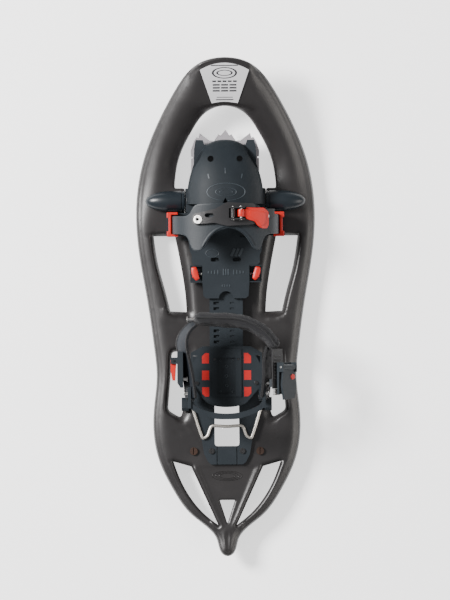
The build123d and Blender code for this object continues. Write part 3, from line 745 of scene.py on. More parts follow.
# ---- the deck ----------------------------------------------------------------
@dataclass
class DeckFrame:
    """The one-piece moulded deck: a thin crowned shell with rims, rails, ribs and openings.

    Its outline is free-form, so its skin is triangulated from its outlines and heights, and the
    walls and the shell's thickness are then added to it.
    """

    spacing: float = 4.5
    skin: float = 3.0
    rib_rows: tuple = (-216, -158, -118, -78, -31, 20, 60, 112, 170, 205, 240, 275)

    outline: tuple = ((0, 315), (35, 306), (62, 275), (84, 235), (104, 184), (113, 125), (110, 70),
                      (100, 10), (91, -55), (88.5, -88), (92, -125), (93, -155), (87, -191), (69, -230),
                      (46, -262), (22, -282), (14.5, -292), (11, -304), (6.5, -312.5), (0, -315))
    top_line: tuple = ((-316, 40), (-280, 34), (-220, 30), (-100, 30), (120, 30), (160, 32.5),
                       (200, 40), (250, 57), (290, 73), (316, 84))
    bottom_line: tuple = ((-316, 28), (-280, 18), (-230, 11), (-100, 10), (120, 10), (160, 12),
                          (200, 20), (250, 39), (290, 57), (316, 71))

    def __post_init__(self) -> None:
        """Works out the outline, the openings and the height lines."""
        left = [(-x, y) for x, y in self.outline[-2:0:-1]]
        self.edge = smooth_line([*self.outline, *left], 520, closed=True)
        front = smooth_line([(0, 254), (25, 245), (41, 224), (52, 204), (60, 182), (64, 156)], 70,
                            start=(1, 0))
        corners = rounded([(64, 156), (64, 150.5), (51.5, 150.5), (51.5, 88), (0, 88)], 3)[4:-5]
        self.front = dense(mirror_half(np.vstack([front[:-1], corners, [(0, 88)]])), 3)
        mid = np.vstack([smooth_line([(91, 90), (85, 52), (77, 22), (70.5, -5)], 30),
                         smooth_line([(50, -6), (51, 11), (55, 42), (64, 90)], 30)])
        rear = [(69, -56), (71, -90), (74.5, -130), (58, -140), (51.5, -115), (49, -56)]
        tail = smooth_line([(11.5, -276), (29, -262), (46, -242), (57.5, -222), (68, -195)], 30)
        tail = np.vstack([[(45.5, -201.5)], tail])
        sides = [dense(mid, 3), dense(rounded(rear, 5), 3), dense(tail, 3)]
        self.mid, self.rear, self.tail = [[loop, loop * np.array([-1, 1])] for loop in sides]
        self.window = dense(rounded([(-15.5, -60), (15.5, -60), (15.5, -176), (-15.5, -176)], 4), 3)
        self.notch = dense(rounded([(-9.8, -244), (9.8, -244), (0, -274)], 2), 2)
        self.holes = [self.front, *self.mid, *self.rear, *self.tail, self.window, self.notch]
        self.top = smooth_line(self.top_line, 300)
        self.bottom = smooth_line(self.bottom_line, 300)

    def floor_height(self, y: np.ndarray) -> np.ndarray:
        """The height of the deck's lower edge, in millimetres."""
        return np.interp(y, self.bottom[:, 0], self.bottom[:, 1])

    def height(self, points: np.ndarray) -> np.ndarray:
        """The deck's top surface.

        Args:
            points: Plan positions in millimetres.

        Returns:
            Their heights in millimetres.
        """
        x, y = np.abs(points[:, 0]), points[:, 1]
        z = np.interp(y, self.top[:, 0], self.top[:, 1])
        forward = ramp(y, 95, 165)
        badge = (1 - ramp(x, 30, 46)) * ramp(y, 245, 258)
        rim = distance_to(points, self.edge)
        z -= round_drop(rim, 3.0, 4.5)
        z -= (1 - forward) * soft_drop(rim, 17, 6.0) + forward * (1 - 0.8 * badge) * soft_drop(rim, 27, 11.5)
        z -= 0.4 * np.exp(-((rim - 5.6) / 1.5) ** 2)
        opening = distance_to(points, self.front)
        hold = ramp(y, 138, 188) * (1 - 0.85 * badge)
        z -= round_drop(opening, 2.5, 2.0) + hold * soft_drop(opening, 25, 10)
        for loops, depth in ((self.mid, 9.0), (self.rear, 8.0), (self.tail, 4.5)):
            near = np.minimum(distance_to(points, loops[0]), distance_to(points, loops[1]))
            inner = 68 if loops is self.mid else 61
            wide = 6.5 + 6.5 * ramp(inner - x, -7, 7)
            if loops is self.tail:
                wide = np.full(len(x), 5.0)
            z -= depth * (1 - np.clip(near / wide, 0, 1)) ** 1.9
        for loop in (self.window, self.notch):
            z -= round_drop(distance_to(points, loop), 2.5, 2.0)
        z += self._tail_relief(x, y)
        return np.maximum(z + self._panel_lines(x, y), self.floor_height(y) + 3.2)

    @staticmethod
    def _panel_lines(x: np.ndarray, y: np.ndarray) -> np.ndarray:
        """The shallow steps moulded across the deck's cross members.

        Args:
            x: Places across the deck.
            y: Places along the deck.

        Returns:
            What to add to the height at each place.
        """
        band = ramp(x, 50, 53) * (1 - ramp(x, 78, 84))
        step = ramp(y, -18.2, -17.2) * (1 - ramp(y, -2, 0)) * 0.9
        span = ramp(x, 40, 43) * (1 - ramp(x, 62, 66))
        groove = 1.1 * np.exp(-((y + 148 + 0.5 * (x - 40)) / 0.9) ** 2) * span
        return band * step - groove

    @staticmethod
    def _tail_relief(x: np.ndarray, y: np.ndarray) -> np.ndarray:
        """The two sloping ridges of the tail's V, and the sunken panel between them.

        Args:
            x: Places across the deck.
            y: Places along the deck.

        Returns:
            What to add to the height at each place.
        """
        along = np.clip((-y - 201.5) / 74.5, 0, 1)
        outer = 45.5 - 34 * along
        inward = outer - x
        width = 10 - 4 * along
        inside_v = ramp(-y, 199, 205) * ramp(y, -284, -270)
        ridge = 1.7 * (1 - ramp(inward, 0.5, width)) * ramp(inward, -9, -6)
        panel = -0.7 * ramp(inward, width - 2, width + 2)
        groove = -1.6 * np.exp(-(x / 2.4) ** 2) * ramp(-y, 280, 292)
        return inside_v * (ridge + panel) + groove

    def plan_points(self) -> tuple[list, list]:
        """The outline's points and edges, then rings beside every edge and a grid between them.

        Returns:
            The points, and the edges as point numbers.
        """
        points: list = []
        edges: list = []
        for loop in [self.edge, *self.holes]:
            first = len(points)
            points += [tuple(p) for p in loop]
            count = len(loop)
            edges += [(first + i, first + (i + 1) % count) for i in range(count)]
        extra = []
        for loop, outward in [(self.edge, -1)] + [(hole, 1) for hole in self.holes]:
            area = np.sum(loop[:, 0] * np.roll(loop[:, 1], -1) - np.roll(loop[:, 0], -1) * loop[:, 1])
            turn = np.sign(area) * outward
            along = np.roll(loop, -1, axis=0) - np.roll(loop, 1, axis=0)
            along /= np.linalg.norm(along, axis=1)[:, None]
            normal = np.column_stack([along[:, 1], -along[:, 0]]) * turn
            for gap in (0.5, 1.2, 2.2, 3.4, 5.0, 6.2, 7.4, 9.0):
                ring = loop + normal * gap
                extra.append(ring[np.abs(distance_to(ring, loop) - gap) < 0.06])
        grid = np.stack(np.meshgrid(np.arange(-112, 113, self.spacing),
                                    np.arange(-312, 313, self.spacing)), -1)
        extra.append(grid.reshape(-1, 2) + 0.137)
        tail = np.stack(np.meshgrid(np.arange(-47, 48, 1.4), np.arange(-314, -197, 1.6)), -1)
        extra.append(tail.reshape(-1, 2) + 0.071)
        inner = np.vstack(extra)
        keep = inside(inner, self.edge) & (distance_to(inner, self.edge) > 0.4)
        for hole in self.holes:
            keep &= ~inside(inner, hole) & (distance_to(inner, hole) > 0.4)
        inner = inner[keep]
        order = np.unique(np.round(inner / 0.9).astype(int), axis=0, return_index=True)[1]
        points += [tuple(p) for p in inner[np.sort(order)]]
        return points, edges

    def build(self) -> bpy.types.Object:
        """Makes the deck's shell.

        Returns:
            The deck as one closed mesh.
        """
        points, edges = self.plan_points()
        verts, _, faces, *_ = geometry.delaunay_2d_cdt([Vector(p) for p in points], edges, [], 1, 1e-5)
        flat = np.array([tuple(v) for v in verts])
        faces = [tuple(f) for f in faces]
        middle = np.array([flat[list(f)].mean(axis=0) for f in faces])
        keep = inside(middle, self.edge)
        for hole in self.holes:
            keep &= ~inside(middle, hole)
        faces = [f for f, kept in zip(faces, keep) if kept]
        solid = np.column_stack([flat, self.height(flat)]) * MM
        deck = mesh_piece("deck_shell", solid, faces)
        shape = bmesh.new()
        shape.from_mesh(deck.data)
        bmesh.ops.delete(shape, geom=[v for v in shape.verts if not v.link_faces], context="VERTS")
        bmesh.ops.recalc_face_normals(shape, faces=shape.faces)
        if sum(f.normal.z for f in shape.faces) < 0:
            bmesh.ops.reverse_faces(shape, faces=shape.faces)
        for share in (0.5, 1.0):
            rim = [e for e in shape.edges if len(e.link_faces) == 1]
            grown = bmesh.ops.extrude_edge_only(shape, edges=rim)["geom"]
            for vert in (g for g in grown if isinstance(g, bmesh.types.BMVert)):
                low = float(self.floor_height(np.array([vert.co.y / MM]))[0]) * MM
                vert.co.z += (low - vert.co.z) * share
        shape.to_mesh(deck.data)
        shape.free()
        wall = deck.modifiers.new("wall", "SOLIDIFY")
        wall.thickness = self.skin * MM
        wall.offset = -1
        wall.use_even_offset = False
        apply_modifiers(deck)
        smooth_faces(deck, 38)
        return deck

    def rib(self, y: float) -> list[bpy.types.Object]:
        """The stretches of one cross rib under the deck's skin.

        Args:
            y: Where the rib crosses the deck.

        Returns:
            One object for each stretch.
        """
        xs = np.arange(-118, 118.5, 1.0)
        line = np.column_stack([xs, np.full(len(xs), y)])
        solid = inside(line, self.edge) & (distance_to(line, self.edge) > 2)
        for hole in self.holes:
            solid &= ~inside(line, hole) & (distance_to(line, hole) > 2)
        stretches, start = [], None
        for x, kept in zip(xs, solid):
            if kept and start is None:
                start = x
            if not kept and start is not None:
                stretches.append((start, x - 1))
                start = None
        low = float(self.floor_height(np.array([y]))[0]) + 2.5
        made = []
        for x0, x1 in stretches:
            if x1 - x0 < 8:
                continue
            across = np.array([[x0 + (x1 - x0) * i / 12, y] for i in range(13)])
            tops = self.height(across) - 1.5
            verts = [(p[0] * MM, (y + side) * MM, z * MM) for side in (-1.2, 1.2)
                     for p, top in zip(across, tops) for z in (low, top)]
            faces = []
            for i in range(12):
                a, b = 2 * i, 26 + 2 * i
                faces += [(a, a + 2, a + 3, a + 1), (b, b + 1, b + 3, b + 2), (a, b, b + 2, a + 2),
                          (a + 1, a + 3, b + 3, b + 1)]
            faces += [(0, 1, 27, 26), (24, 50, 51, 25)]
            made.append(mesh_piece("rib", verts, faces))
        return made

    def assemble(self) -> None:
        """Builds the shell, its ribs and its dress."""
        deck = self.build()
        finish_piece(deck, "deck", DECK, ["deck_frame"])
        ribs = [piece for y in self.rib_rows for piece in self.rib(y)]
        under = joined(ribs, "deck_ribs")
        finish_piece(under, "deck", DECK)


@dataclass
class DeckTrim:
    """The badge, the tail's oval mark and the small fittings on the deck."""

    deck: DeckFrame
    badge_lift: float = 1.4

    def drape(self, piece: bpy.types.Object, lift: float) -> None:
        """Lays a flat piece on the deck's surface, in metres above it.

        Args:
            piece: The flat piece.
            lift: How far above the surface it lies.
        """
        flat = np.array([(v.co.x / MM, v.co.y / MM) for v in piece.data.vertices])
        for vert, z in zip(piece.data.vertices, self.deck.height(flat)):
            vert.co.z += z * MM + lift

    def badge(self) -> None:
        """The silver plate on the nose, with plain rings and lines in place of any mark."""
        arc = [(31 * math.sin(a), 298.5 + 9.0 * (1 - (math.sin(a)) ** 2)) for a in np.linspace(-1.5, 1.5, 21)]
        low = [(16.5 - 1.65 * i, 257 + 2 * math.sin(math.pi * i / 20)) for i in range(21)]
        loop = dense(rounded(np.vstack([arc, low]), 1.0), 1.5)
        grid = np.stack(np.meshgrid(np.arange(-32, 33, 2.0), np.arange(255, 313, 2.0)), -1)
        grid = grid.reshape(-1, 2) + 0.11
        grid = grid[inside(grid, loop) & (distance_to(grid, loop) > 0.7)]
        edges = [(i, (i + 1) % len(loop)) for i in range(len(loop))]
        points = [Vector(p) for p in np.vstack([loop, grid])]
        verts, _, faces, *_ = geometry.delaunay_2d_cdt(points, edges, [], 1, 1e-5)
        flat = np.array([tuple(v) for v in verts])
        faces = [tuple(f) for f in faces if inside(flat[list(f)].mean(axis=0)[None], loop)[0]]
        plate = mesh_piece("badge_plate", np.column_stack([flat * MM, np.zeros(len(flat))]), faces)
        self.drape(plate, self.badge_lift * MM)
        thick = plate.modifiers.new("thick", "SOLIDIFY")
        thick.thickness = self.badge_lift * MM
        thick.offset = -1
        apply_modifiers(plate)
        smooth_faces(plate)
        finish_piece(plate, "deck", SILVER, ["nose_badge"])
        marks = [flat_ring("mark", (0, 295), radii, width, 0.2)
                 for radii, width in (((14.7, 6.6), 2.5), ((9.3, 3.3), 2.3))]
        marks += [flat_bar("mark", (x, 284.5), (4.8, 2.0, 0.3)) for x in (-13, -6.5, 0, 6.5, 13)]
        marks += [flat_bar("mark", (x, y), (8.8, 1.9, 0.3))
                  for x in (-10.5, 0, 10.5) for y in (280, 276.3, 272.6)]
        marks += [flat_bar("mark", (0, y), (width, depth, 0.3)) for y, width, depth in
                  ((264.5, 20, 0.8), (261.5, 22, 1.2), (304.3, 34, 1.2))]
        print_layer = joined(marks, "badge_marks")
        self.drape(print_layer, (self.badge_lift + 0.05) * MM)
        finish_piece(print_layer, "deck", INK)

    def tail_mark(self) -> None:
        """Three nested ovals raised on the tail panel."""
        rings = [flat_ring("oval", (0, -213.5), (19 - 4.5 * i, 6 - 1.4 * i), 1.0, 0.5) for i in range(3)]
        mark = joined(rings, "tail_ovals")
        self.drape(mark, 0.1 * MM)
        finish_piece(mark, "deck", DECK)

    def fittings(self) -> None:
        """Dresses the fittings whose CAD shape is right."""
        for side in ("left", "right"):
            dress_node(f"pivot_bush_{side}", NYLON, 0.3)
            dress_node(f"lifter_clip_{side}", SLATE, 0.6)
        dress_node("heel_rest_plate", SLATE, 0.8)
        dress_node("rest_plate_screws", DARK_STEEL, 0.3)
        dress_node("deck_spikes", STEEL, 0.3)
        dress_node("spike_screws", RUST, 0.4)

    def boss(self, side: int, word: str) -> None:
        """One bullet-shaped boss over the pivot axle, with a narrow groove near its inner end.

        Args:
            side: -1 on the left and 1 on the right.
            word: The side's name.
        """
        profile = [(51.3, 0), (51.3, 12.9), (51.5, 13.0), (53.6, 13.0), (54.2, 12.3), (55.2, 12.3),
                   (55.8, 13.0)]
        profile += [(70 + 31 * math.sin(a), 13.0 * math.cos(a)) for a in np.linspace(0, math.pi / 2, 22)]
        around = 56
        verts = [(side * x * MM, (134 + r * math.cos(2 * math.pi * k / around)) * MM,
                  (37 + r * math.sin(2 * math.pi * k / around)) * MM)
                 for x, r in profile[1:-1] for k in range(around)]
        rows = len(profile) - 2
        faces = [(i * around + k, (i + 1) * around + k, (i + 1) * around + (k + 1) % around,
                  i * around + (k + 1) % around) for i in range(rows - 1) for k in range(around)]
        faces.append(tuple(range(around)))
        faces.append(tuple((rows - 1) * around + k for k in reversed(range(around))))
        piece = mesh_piece(f"boss_{word}", verts, faces)
        take(piece)
        bpy.ops.object.mode_set(mode="EDIT")
        bpy.ops.mesh.select_all(action="SELECT")
        bpy.ops.mesh.normals_make_consistent(inside=False)
        bpy.ops.object.mode_set(mode="OBJECT")
        smooth_faces(piece, 42)
        finish_piece(piece, "deck", GLOSS, [f"pivot_boss_{word}"])

    def assemble(self) -> None:
        """Makes and dresses all of it."""
        self.badge()
        self.tail_mark()
        self.boss(-1, "left")
        self.boss(1, "right")
        self.fittings()


# ---- the binding -------------------------------------------------------------
def filled_outline(loop: np.ndarray, holes: Sequence[np.ndarray], spacing: float) -> tuple[np.ndarray, list]:
    """Triangulates a flat outline with holes.

    Args:
        loop: The outline's points.
        holes: Each hole's points.
        spacing: The inner grid's spacing.

    Returns:
        The points, and the faces as point numbers.
    """
    points: list = []
    edges: list = []
    for ring in [loop, *holes]:
        first, count = len(points), len(ring)
        points += [tuple(p) for p in ring]
        edges += [(first + i, first + (i + 1) % count) for i in range(count)]
    low, high = loop.min(axis=0), loop.max(axis=0)
    grid = np.stack(np.meshgrid(np.arange(low[0], high[0], spacing), np.arange(low[1], high[1], spacing)), -1)
    grid = grid.reshape(-1, 2) + 0.11
    keep = inside(grid, loop) & (distance_to(grid, loop) > spacing * 0.4)
    for hole in holes:
        keep &= ~inside(grid, hole) & (distance_to(grid, hole) > spacing * 0.4)
    points += [tuple(p) for p in grid[keep]]
    verts, _, faces, *_ = geometry.delaunay_2d_cdt([Vector(p) for p in points], edges, [], 1, 1e-5)
    flat = np.array([tuple(v) for v in verts])
    middle = np.array([flat[list(f)].mean(axis=0) for f in faces])
    keep = inside(middle, loop)
    for hole in holes:
        keep &= ~inside(middle, hole)
    return flat, [tuple(f) for f, kept in zip(faces, keep) if kept]


@dataclass(frozen=True)
class Arch:
    """The saddle's arch: an ellipse over the foot, on upright legs."""

    half: float = 64.0
    rise: float = 34.5
    spring: float = 62.0
    base: float = 47.2

    def profile(self, height: float) -> tuple[np.ndarray, np.ndarray, np.ndarray]:
        """The arch's section at a height above its inside.

        Args:
            height: The height in millimetres.

        Returns:
            The run along the section from its crown, and X and Z there, from left foot to right.
        """
        angle = np.linspace(math.pi, 0, 361)
        x = (self.half + height) * np.cos(angle)
        z = self.spring + (self.rise + height) * np.sin(angle)
        x = np.concatenate([[x[0]], x, [x[-1]]])
        z = np.concatenate([[self.base], z, [self.base]])
        run = np.concatenate([[0], np.cumsum(np.hypot(np.diff(x), np.diff(z)))])
        return run - run[-1] / 2, x, z

    def panel(self, name: str, outline: Sequence, low: float, high: float,
              holes: Sequence[np.ndarray] = (), unroll: bool = False) -> bpy.types.Object:
        """A panel bent over the arch.

        Args:
            name: The piece's name.
            outline: The panel's outline in plan, in millimetres.
            low: The height of its underside above the saddle's inside.
            high: The height of its top.
            holes: Outlines of its holes.
            unroll: Whether the outline's X is the run along the arch, and not the plan.

        Returns:
            The panel, with rounded edges.
        """
        flat, faces = filled_outline(dense(outline, 1.6), [dense(hole, 1.2) for hole in holes], 2.2)
        run, x, z = self.profile(high)
        if unroll:
            place = np.column_stack([np.interp(flat[:, 0], run, x), flat[:, 1],
                                     np.interp(flat[:, 0], run, z)])
        else:
            half, rise = self.half + high, self.rise + high
            top = self.spring + rise * np.sqrt(np.clip(1 - (flat[:, 0] / half) ** 2, 0, 1))
            place = np.column_stack([flat, top])
        piece = mesh_piece(name, place * MM, faces)
        shape = bmesh.new()
        shape.from_mesh(piece.data)
        bmesh.ops.delete(shape, geom=[v for v in shape.verts if not v.link_faces], context="VERTS")
        bmesh.ops.recalc_face_normals(shape, faces=shape.faces)
        if sum(f.normal.z for f in shape.faces) < 0:
            bmesh.ops.reverse_faces(shape, faces=shape.faces)
        shape.to_mesh(piece.data)
        shape.free()
        thick = piece.modifiers.new("thick", "SOLIDIFY")
        thick.thickness = (high - low) * MM
        thick.offset = -1
        apply_modifiers(piece)
        bevel(piece, min(0.6, (high - low) * 0.25) * MM, 2)
        smooth_faces(piece, 42)
        return piece


@dataclass
class FootPlate:
    """The chassis, the claw and what is fixed to them."""

    emboss: float = 0.5

    def relief(self) -> None:
        """Raised plain marks on the foot plate."""
        tree = surface_tree("binding_chassis")
        marks = [flat_ring("mark", (-17, 68), (8, 5.2), 1.1, self.emboss)]
        marks += [flat_bar("mark", (9 + 5 * i, 69), (3.4, 11, 1.0), -25) for i in range(3)]
        marks += [flat_bar("mark", (side * (10 + 4 * i), 44), (1.4, 6 - i, 1.0))
                  for side in (-1, 1) for i in range(4)]
        marks += [flat_bar("mark", (x, 44), (1.6, 8, 1.0)) for x in (-3, 0, 3)]
        marks += [flat_bar("mark", (x, 27), (1.2, 3, 0.8)) for x in (-4.5, -1.5, 1.5, 4.5)]
        layer = joined(marks, "foot_plate_marks")
        lay_on(layer, tree, 0.05 * MM)
        finish_piece(layer, "binding", SLATE_MARKS_AND_GLINTS)

    def hubs(self) -> None:
        """The flanged hubs of the plate on the pivot axle, black blocks of painted shade beside them, and the
        web between them.
        """
        rings = []
        for side in (-1, 1):
            for inner, outer, radius in ((47.6, 49.2, 12.6), (49.6, 51.2, 11.4)):
                clear_selection()
                middle = (side * (inner + outer) / 2 * MM, 134 * MM, 37 * MM)
                bpy.ops.mesh.primitive_cylinder_add(vertices=64, radius=radius * MM,
                                                    depth=(outer - inner) * MM, location=middle,
                                                    rotation=(0, math.pi / 2, 0))
                ring = settle(named(bpy.context.object, "hub"))
                bevel(ring, 0.4 * MM, 2)
                smooth_faces(ring)
                rings.append(ring)
        finish_piece(joined(rings, "pivot_hubs"), "binding", BLACK)
        # Black blocks beside the hubs, under the bosses' inner ends, fill the gap where the bright floor
        # would show. They are a dark fill standing in for the shade there.
        gap_shade_blocks = [block("shroud", (x0, 106, 28), (x1, 150, 35), 1.5)
                   for x0, x1 in ((-51.2, -46.5), (46.5, 51.2))]
        finish_piece(joined(gap_shade_blocks, "pivot_shrouds"), "binding", BLACK)
        web = block("saddle_web", (-52.5, 84, 43.2), (52.5, 110, 44.8), 0.4)
        finish_piece(web, "binding", SLATE)

    def assemble(self) -> None:
        """Dresses the plate, claw, axle and rivets."""
        self.hubs()
        dress_node("binding_chassis", SLATE, 0.7)
        dress_node("toe_crampon", CLAW, 0.35)
        dress_node("claw_rivets", STEEL, 0.3)
        dress_node("pivot_axle", STEEL, 0.4)
        self.relief()


@dataclass
class ToeCap:
    """The hood over the boot's toe: a moulded half-round shell with a rounded front."""

    sections: tuple = ((208, 27, 5), (194, 35, 18), (174, 42.5, 29), (150, 47.5, 35), (130, 48.5, 37))
    base: float = 49.0
    wall: float = 3.0

    def shell(self) -> bpy.types.Object:
        """Lofts the hood along smooth lines through its sections.

        Returns:
            The hood's skin, with its thickness.
        """
        rows, around = 44, 60
        line = smooth_line(self.sections, rows)
        verts = []
        for j, (y, half, rise) in enumerate(line):
            fade = (1 - j / rows) ** 2
            for k in range(around + 1):
                a = math.pi * k / around
                c, sn = math.cos(a), math.sin(a)
                x = half * math.copysign(abs(c) ** 0.86, c)
                bow = (2.2 - 9.0 * c * c) * fade
                verts.append((x * MM, (y + bow) * MM, (self.base + rise * sn ** 0.9) * MM))
        step = around + 1
        nose = len(verts)
        verts += [(v[0] * 0.985, v[1] + 0.0012, self.base * MM) for v in verts[:step]]
        faces = [(j * step + k, j * step + k + 1, (j + 1) * step + k + 1, (j + 1) * step + k)
                 for j in range(rows) for k in range(around)]
        faces += [(nose + k, nose + k + 1, k + 1, k) for k in range(around)]
        hood = mesh_piece("toe_hood", verts, faces)
        take(hood)
        bpy.ops.object.mode_set(mode="EDIT")
        bpy.ops.mesh.select_all(action="SELECT")
        bpy.ops.mesh.remove_doubles(threshold=0.00002)
        bpy.ops.mesh.normals_make_consistent(inside=False)
        bpy.ops.object.mode_set(mode="OBJECT")
        if sum(p.normal.z for p in hood.data.polygons) < 0:
            hood.data.flip_normals()
        thick = hood.modifiers.new("thick", "SOLIDIFY")
        thick.thickness = self.wall * MM
        thick.offset = -1
        apply_modifiers(hood)
        return hood

    def cutters(self) -> list[bpy.types.Object]:
        """The side slots, the screw wells and the notch in the rear lip.

        Returns:
            The solids to cut away.
        """
        tools = []
        for side in (-1, 1):
            slot = [(30.5, 199.5), (27.5, 195.5), (38.5, 176.5), (44.5, 174), (43, 181)]
            tools.append(self.prism([(side * x, y) for x, y in slot], 1.5))
            ring = [(side * 18.3 + 3.9 * math.cos(a), 187 + 3.9 * math.sin(a))
                    for a in np.linspace(0, 2 * math.pi, 29)[:-1]]
            tools.append(self.prism(ring, 0))
        tools.append(self.prism([(-7, 124), (7, 124), (0, 138)], 0.8))
        return tools

    def prism(self, loop: Sequence, corner: float) -> bpy.types.Object:
        """An upright prism through the hood.

        Args:
            loop: Its outline in plan.
            corner: The radius of the outline's corners.

        Returns:
            The prism as a mesh.
        """
        ring = rounded(loop, corner) if corner else np.array(loop, float)
        count = len(ring)
        verts = [(x * MM, y * MM, z) for z in (0.0515, 0.1) for x, y in ring]
        faces = [tuple(range(count)), tuple(range(count, 2 * count))]
        faces += [(i, (i + 1) % count, count + (i + 1) % count, count + i) for i in range(count)]
        tool = mesh_piece("cutter", verts, faces)
        take(tool)
        bpy.ops.object.mode_set(mode="EDIT")
        bpy.ops.mesh.select_all(action="SELECT")
        bpy.ops.mesh.normals_make_consistent(inside=False)
        bpy.ops.object.mode_set(mode="OBJECT")
        return tool

    def wells(self) -> bpy.types.Object:
        """The two tubes that the screws sit in, under the hood.

        Returns:
            The tubes as one object.
        """
        tubes = []
        for side in (-1, 1):
            clear_selection()
            bpy.ops.mesh.primitive_cylinder_add(vertices=36, radius=5.6 * MM, depth=13 * MM,
                                                end_fill_type="NOTHING",
                                                location=(side * 18.3 * MM, 187 * MM, 56 * MM))
            tube = settle(named(bpy.context.object, "well"))
            wall = tube.modifiers.new("wall", "SOLIDIFY")
            wall.thickness = 1.7 * MM
            wall.offset = -1
            apply_modifiers(tube)
            smooth_faces(tube)
            tubes.append(tube)
        return joined(tubes, "toe_hood_wells")

    def assemble(self) -> None:
        """Makes the hood, its raised lines and its screws."""
        hood = self.shell()
        for tool in self.cutters():
            cut = hood.modifiers.new("cut", "BOOLEAN")
            cut.object = tool
            cut.solver = "EXACT"
            apply_modifiers(hood)
            bpy.data.objects.remove(tool)
        smooth_faces(hood, 35)
        top = BVHTree.FromPolygons([v.co for v in hood.data.vertices],
                                   [tuple(p.vertices) for p in hood.data.polygons])
        finish_piece(hood, "binding", MATTE, ["toe_cap"])
        finish_piece(self.wells(), "binding", SLATE)
        rings = [flat_ring("oval", (1, 145), radii, width, height) for radii, width, height in
                 (((24, 11), 1.6, 0.6), ((13, 5.4), 1.3, 0.6), ((8, 2.6), 1.0, 0.5))]
        # These three small ribs sit where glints show on the hood, and their lighter slate is a painted
        # highlight for those glints.
        rings += [flat_bar("bar", (side * 21, 165), (1.6, 6, 1.4), side * -12) for side in (-1, 1)]
        rings += [flat_bar("bar", (0, 172), (1.2, 7, 1.2))]
        ovals = joined(rings, "toe_hood_relief")
        lay_on(ovals, top, -0.1 * MM)
        finish_piece(ovals, "binding", SLATE_MARKS_AND_GLINTS)
        dress_node("toe_cap_screws", DARK_STEEL, 0.3)


